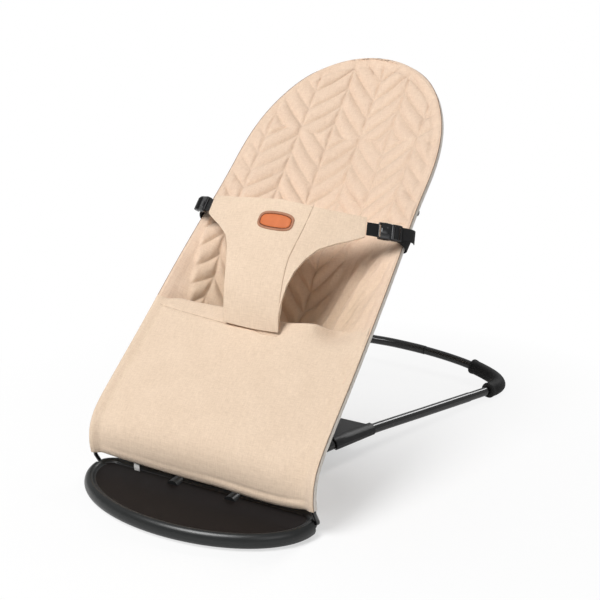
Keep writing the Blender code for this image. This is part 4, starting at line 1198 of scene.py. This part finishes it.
def make_webbing():
    for side_name, side in SIDES:
        belt = belt_frame(side)
        across = belt.to_3x3() @ Vector((0.0, WEB_WIDTH, 0.0))
        panel, tail, ladder = ([belt @ Vector((u, 0.0, off)) for u, off in path]
                               for path in (PANEL_PATH, TAIL_PATH, LADDER_PATH))
        strap(f"panel_webbing_{side_name}", panel, across, f"panel_strap_{side_name}")
        strap(f"ladder_webbing_{side_name}", ladder, across * 0.96, None, 0.0012)
        strap(f"tail_webbing_{side_name}", tail, across, f"strap_tail_{side_name}")
        rail = loop_at(station_of(SIDE_STRAP_ALONG))
        loop = [Vector((side * (rail.x + out), rail.y, rail.z)) + OFF_SEAT * up
                for out, up in SIDE_PATH]
        strap(f"side_webbing_{side_name}", loop, UPHILL * WEB_WIDTH, f"side_strap_{side_name}")


def make_care_label():
    hem = loop_at(1.0)
    top = Vector((LABEL_ACROSS, hem.y + 0.0035, hem.z - 0.006))
    path = [top, top - Vector((0.0, 0.0005, 0.006)), top - Vector((0.0, -0.0005, 0.012))]
    strap("care_label_tape", path, Vector((0.010, 0.0, 0.0)), "care_label", 0.0005, "tape")


# Shapes for moulded pieces

def cylinder(start, end, radius, segments=40):
    axis = end - start
    turn = axis.to_track_quat("Z", "Y").to_matrix().to_4x4()
    bm = bmesh.new()
    bmesh.ops.create_cone(bm, cap_ends=True, segments=segments, radius1=radius, radius2=radius,
                          depth=axis.length)
    bmesh.ops.transform(bm, matrix=Matrix.Translation((start + end) / 2) @ turn, verts=bm.verts)
    return to_mesh(bm, "cylinder")


def box(low, high, matrix=Matrix()):
    low, high = Vector(low), Vector(high)
    bm = bmesh.new()
    bmesh.ops.create_cube(bm, size=1.0)
    bmesh.ops.scale(bm, vec=[abs(length) for length in high - low], verts=bm.verts)
    bmesh.ops.translate(bm, vec=(high + low) / 2, verts=bm.verts)
    bmesh.ops.transform(bm, matrix=matrix, verts=bm.verts)
    return to_mesh(bm, "box")


def carved(mesh, joins, cuts):
    """The mesh with helper shapes joined on and then cut out."""
    holder = link_to_scene("work", mesh)
    helpers = [holder]
    for operation, shapes in (("UNION", joins), ("DIFFERENCE", cuts)):
        for shape in shapes:
            helpers.append(link_to_scene("helper", shape))
            step = holder.modifiers.new("step", "BOOLEAN")
            step.operation, step.object = operation, helpers[-1]
    bpy.context.view_layer.update()
    graph = bpy.context.evaluated_depsgraph_get()
    made = bpy.data.meshes.new_from_object(holder.evaluated_get(graph))
    for helper in helpers:
        bpy.data.objects.remove(helper, do_unlink=True)
    return made


def slab(rings, matrix, corner=0.0022):
    """A body of rounded rectangles in a buckle's own axes: along, half across, half thick."""
    made = []
    for u, half_across, half_off in rings:
        bend, ring = min(corner, half_off * 0.85), []
        for quarter, (a, b) in enumerate(((1, 1), (-1, 1), (-1, -1), (1, -1))):
            for step in range(7):
                turn = (quarter + step / 6) * pi / 2
                ring.append(matrix @ Vector((u, a * (half_across - bend) + bend * cos(turn),
                                             b * (half_off - bend) + bend * sin(turn))))
        made.append(ring)
    return rings_mesh("slab", made)


# Base, bow and fittings

def tube_piece(name, path, radius, body, sides=28):
    """A smooth painted tube that stands for the node of the same name."""
    mesh = rings_mesh(name, tube_rings(path, radius, sides))
    item = new_piece(f"{name}_surface", mesh, "paint", body, smooth_angle=50)
    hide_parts(name)


def base_path(table, steps):
    return smooth_path([place(*spot) for spot in table], steps)


def make_base_tubes():
    side_path, corner_path = base_path(SIDE_TUBE, 10), base_path(CORNER_TUBE, CORNER_STEPS)
    total = path_lengths(corner_path)[-1]
    rounds = [total * step / 150 for step in range(151)]
    edges = [SPIGOT_LENGTH + shift for shift in (-0.0002, 0.0002, 0.0010)]
    rounds = sorted(rounds + edges + [total - edge for edge in edges])
    radii = []
    for run in rounds:
        past = min(run, total - run) - SPIGOT_LENGTH
        shoulder = CORNER_TUBE_RADIUS - 0.0005 * (1 - ease(past / 0.0010))
        radii.append(SPIGOT_RADIUS if past < 0 else shoulder)
    for side_name, side in SIDES:
        tube_piece(f"side_tube_{side_name}", mirrored(side_path, side), TUBE_RADIUS, "base")
        tube_piece(f"corner_tube_{side_name}", mirrored(spots_at(corner_path, rounds), side),
                   lambda index, turn: radii[index], "base")
    half = [place(*spot) for spot in (CORNER_TUBE[-2], CORNER_TUBE[-1], REAR_BAR_CENTRE)]
    tube_piece("rear_bar", smooth_path(half + mirrored(half[-2::-1], -1), 10), TUBE_RADIUS, "base")


def make_rear_feet():
    """Rubber sleeves over the corners, with a rolled lip at both ends and a flat underside."""
    path = base_path(CORNER_TUBE, CORNER_STEPS)[2 * CORNER_STEPS:6 * CORNER_STEPS + 1]
    total = path_lengths(path)[-1]
    middle = spread(FOOT_LIP[-1][0], total - FOOT_LIP[-1][0], 70)[1:-1]
    runs = [run for run, _ in FOOT_LIP] + middle + [total - run for run, _ in FOOT_LIP[::-1]]
    lip = [radius for _, radius in FOOT_LIP]
    radii = lip + [FOOT_RADIUS] * len(middle) + lip[::-1]
    for side_name, side in SIDES:
        rings = tube_rings(mirrored(spots_at(path, runs), side), lambda index, turn: radii[index], 36)
        rings = [[Vector((spot.x, spot.y, max(spot.z, 0.0))) for spot in ring] for ring in rings]
        item = new_piece(f"rear_foot_{side_name}_rubber", rings_mesh("rear_foot", rings),
                         "rubber", "base", smooth_angle=50)
        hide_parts(f"rear_foot_{side_name}")


def make_wires():
    """The seat's wire and the support bow."""
    rail = [loop_at(station) for station in spread(0.0, TOP_STATION, 260)]
    ends = [place(across, FOLD_BACK, FOLD_Z) for across in (FOLD_INNER, RAIL[0][0])]
    path = fillet_path(ends + [rail[0], rail[7]], 0.007) + rail[8:]
    for side_name, side in SIDES:
        tube_piece(f"seat_rod_{side_name}", mirrored(path, side), WIRE_RADIUS, "seat", 16)
    under = loop_at(station_of(PROP_ALONG))
    clear = CHANNEL_RADIUS + GLIDE_RADIUS + GLIDE_GAP
    back = under.y - DATUM_Y + clear * sin(SEAT_INCLINE)
    up = under.z - clear * cos(SEAT_INCLINE)
    half = [place(BOW_HALF, BOW_BACK, BOW_Z), place(GLIDE_X - 0.0135, back, up),
            place(GLIDE_X + 0.0095, back, up)]
    path = fillet_path(mirrored(half[::-1], -1) + half, 0.009)
    tube_piece("support_bow", path, WIRE_RADIUS, "bow", 16)


def plate_ring(inset, up):
    """The plate's half-moon outline, moved in by inset."""
    half, corner = PLATE_HALF - inset, PLATE_CORNER - inset
    front, rear = PLATE_WIDEST - PLATE_FRONT - inset, PLATE_REAR - PLATE_WIDEST - inset
    ring = []
    for step in range(113):
        turn = pi * step / 112
        ring.append(place(half * cos(turn), PLATE_WIDEST - front * sin(turn), up))
    for side, steps in ((-1, range(1, 21)), (1, range(20, 0, -1))):
        for step in steps:
            turn = pi / 2 * step / 20
            ring.append(place(side * (half - corner + corner * cos(turn)),
                              PLATE_WIDEST + rear * sin(turn), up))
    return ring


def in_recess(spot):
    """Whether a point lies on the plate's sunk top."""
    back = spot.y - DATUM_Y - PLATE_WIDEST
    half = PLATE_HALF - RECESS_INSET
    if back > 0:
        within = abs(spot.x) < half and back < PLATE_REAR - PLATE_WIDEST - RECESS_INSET
    else:
        within = (spot.x / half) ** 2 + (back / (PLATE_WIDEST - PLATE_FRONT - RECESS_INSET)) ** 2 < 1
    return within and 0.0175 < spot.z < 0.0192


def make_front_plate():
    """The plate: a rolled glossy rim round a matt, slightly brown, recessed top."""
    outline = smooth_path([Vector((inset, up, 0.0)) for inset, up in PLATE_RIM], 5)
    outline += [Vector((0.0175, 0.0184, 0.0)), Vector((0.0200, 0.0183, 0.0))]
    mesh = rings_mesh("front_plate", [plate_ring(spot.x, spot.y) for spot in outline])
    joins, cuts = [], []
    for _, side in SIDES:
        boss = [place(side * SOCKET_X, back, SOCKET_Z) for back in (-0.004, PLATE_REAR + 0.009)]
        bore = [place(side * SOCKET_X, back, SOCKET_Z) for back in (-0.001, PLATE_REAR + 0.012)]
        bush = [place(side * across, FOLD_BACK, FOLD_Z) for across in (0.155, 0.184)]
        screw = [place(side * SOCKET_X, PLATE_REAR + 0.001, up) for up in (SOCKET_Z, 0.03)]
        joins.append(cylinder(*boss, 0.0106))
        cuts += [cylinder(*bore, TUBE_RADIUS + 0.0006), cylinder(*bush, 0.0056),
                 cylinder(*screw, 0.0022, 24),
                 box(place(side * 0.1805, -0.0075, -0.01), place(side * 0.2, PLATE_REAR, 0.03))]
    mesh = carved(mesh, joins, cuts)
    item = new_piece("front_plate_body", mesh, "plate", "base", smooth_angle=32)
    mesh.materials.append(finishes["mat"])
    for face in mesh.polygons:
        face.material_index = 1 if in_recess(face.center) and face.normal.z > 0.6 else 0
    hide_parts("front_plate")


def dress_hardware():
    dress("recline_bridge", "plastic", "base", 0.0009)
    for side_name, _ in SIDES:
        dress(f"pivot_bush_{side_name}", "nylon", "base", 0.0002)
        dress(f"bow_bearing_{side_name}", "plastic", "base", 0.0006)
        dress(f"socket_screw_{side_name}", "dark_zinc", "base", 0.0002)
        for end in ("front", "rear"):
            dress(f"bearing_screw_{side_name}_{end}", "zinc", "base", 0.0002)
    for name in ("left", "middle", "right"):
        dress(f"grip_pad_{name}", "rubber", "base", 0.0003)
    for side_name, _ in SIDES:
        dress(f"bow_glide_{side_name}", "nylon", "bow", 0.0003)
    dress("rod_ferrule", "zinc", "seat")


# Buckles

def buckle_part(node, kind, rings, belt, joins, cuts):
    """A glossy shell through a buckle's rings, standing for its node."""
    item = new_piece(f"{node}_{kind}", carved(slab(rings, belt), joins, cuts), "gloss", "seat",
                     smooth_angle=38)
    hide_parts(node)


def make_socket(side_name, belt):
    """The socket: hollow inside, with a window for both buttons and a slot for the webbing."""
    cuts = [box((0.0215, -0.01055, -0.0029), (0.039, 0.01055, 0.0029), belt),
            box((0.0234, -0.0200, -0.0028), (0.0326, 0.0203, 0.0028), belt),
            box((0.0184, -0.0102, -0.01), (0.0204, 0.0102, 0.01), belt)]
    buckle_part(f"buckle_socket_{side_name}", "shell", SOCKET_RINGS, belt,
                [slab(PAD_RINGS, belt, 0.0030)], cuts)


def make_plug(side_name, belt):
    """The plug: a guide into the socket, and two ladder slots for the webbing."""
    joins = [box((0.0225, -0.0018, -0.0016), (0.0393, 0.0018, 0.0016), belt)]
    cuts = [box((near, -0.0102, -0.01), (near + 0.0026, 0.0102, 0.01), belt) for near in (0.0413, 0.0473)]
    buckle_part(f"buckle_plug_{side_name}", "body", PLUG_RINGS, belt, joins, cuts)


def make_prongs(side_name, side, belt):
    """The sprung arms, with a ribbed thumb face on each button."""
    near, far, root = 0.0240, 0.0320, 0.0367
    ribs = [(u, 0.0132 - 0.00035 * (1 - cos(step / 12 * 3 * 2 * pi)) / 2)
            for step, u in enumerate(spread(far - 0.0018, near + 0.0018, 12))]
    outline = [(near, 0.0044), (root, 0.0044), (root, 0.0070), (far, 0.0070), (far, 0.0116),
               *ribs, (near, 0.0116)]
    for edge_name, way in (("upper", side), ("lower", -side)):
        rings = [[belt @ Vector((u, v * way, off)) for u, v in outline] for off in (-0.0021, 0.0021)]
        node = f"buckle_prong_{side_name}_{edge_name}"
        item = new_piece(f"{node}_arm", rings_mesh(node, rings), "gloss",
                         f"prong_{side_name}_{edge_name}", smooth_angle=35)
        add_bevel(item, 0.0004, 2, 50)
        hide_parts(node)


def make_buckles():
    for side_name, side in SIDES:
        belt = belt_frame(side)
        make_socket(side_name, belt)
        make_plug(side_name, belt)
        make_prongs(side_name, side, belt)


# Room

def make_camera():
    data = bpy.data.cameras.new("camera")
    data.lens, data.sensor_width = 74.96, 36.0
    camera = link_to_scene("camera", data)
    camera.location = (0.9010, -1.5899, 0.8763)
    camera.rotation_euler = (radians(70.46), 0.0, radians(29.15))
    bpy.context.scene.camera = camera


def add_light(name, spot, target, size, power):
    data = bpy.data.lights.new(name, "AREA")
    data.shape, data.size, data.energy = "DISK", size, power
    lamp = link_to_scene(name, data)
    lamp.location = spot
    lamp.rotation_euler = (Vector(target) - Vector(spot)).to_track_quat("-Z", "Y").to_euler()


def background_share(nodes):
    """1 where the camera sees the room itself, less in reflections, 0 for light on the bouncer."""
    paths = nodes.add("ShaderNodeLightPath").outputs
    seen = nodes.calc("MAXIMUM", paths["Is Camera Ray"], paths["Is Transmission Ray"])
    return nodes.calc("MAXIMUM", seen, nodes.times(paths["Is Glossy Ray"], IN_REFLECTIONS))


def make_floor():
    """A pale floor that keeps the bouncer's shadow and fades to white away from it."""
    bm = bmesh.new()
    bmesh.ops.create_grid(bm, x_segments=1, y_segments=1, size=FLOOR_HALF)
    floor_item = link_to_scene("floor", to_mesh(bm, "floor"))
    made = Finish("pale_floor", (0.93, 0.93, 0.93), 0.9, Specular_IOR_Level=0.1)
    places = {0: made.object_space(), 1: SHADOW_CENTRE}
    away = made.add("ShaderNodeVectorMath", places, operation="DISTANCE").outputs["Value"]
    inner = made.between(away, *CORE_SHADOW, 1.0, 0.0)
    glowing = made.minus(made.between(away, *FADE_TO_WHITE, FLOOR_GLOW, 1.0),
                         made.times(made.times(inner, inner), CORE_DEPTH))
    glow = made.add("ShaderNodeEmission", {"Color": (1, 1, 1, 1), "Strength": 1.0})
    parts = {0: made.times(glowing, background_share(made)), 1: made.shader.outputs[0],
             2: glow.outputs[0]}
    blended = made.add("ShaderNodeMixShader", parts)
    made.put(blended.outputs[0], made.tree.nodes["Material Output"].inputs["Surface"])
    floor_item.data.materials.append(made.material)


def make_room():
    make_floor()
    world = bpy.data.worlds.new("studio")
    bpy.context.scene.world = world
    world.use_nodes = True
    sky = NodeWork(world.node_tree)
    background = sky.tree.nodes["Background"]
    background.inputs["Color"].default_value = (1, 1, 1, 1)
    sky.put(sky.between(background_share(sky), 0.0, 1.0, SKY_LIGHT, 1.0), background.inputs["Strength"])
    for light in LIGHTS:
        add_light(*light)
    bpy.context.scene.view_settings.view_transform = "Standard"


def main():
    make_camera()
    make_room()
    make_base_tubes()
    make_rear_feet()
    make_wires()
    make_front_plate()
    dress_hardware()
    make_buckles()
    make_quilted_seat()
    make_seat_backing()
    make_edge_channel()
    make_edge_seam()
    make_front_panel()
    make_front_seam()
    make_restraint()
    make_restraint_seam()
    make_patch()
    make_webbing()
    make_care_label()


main()
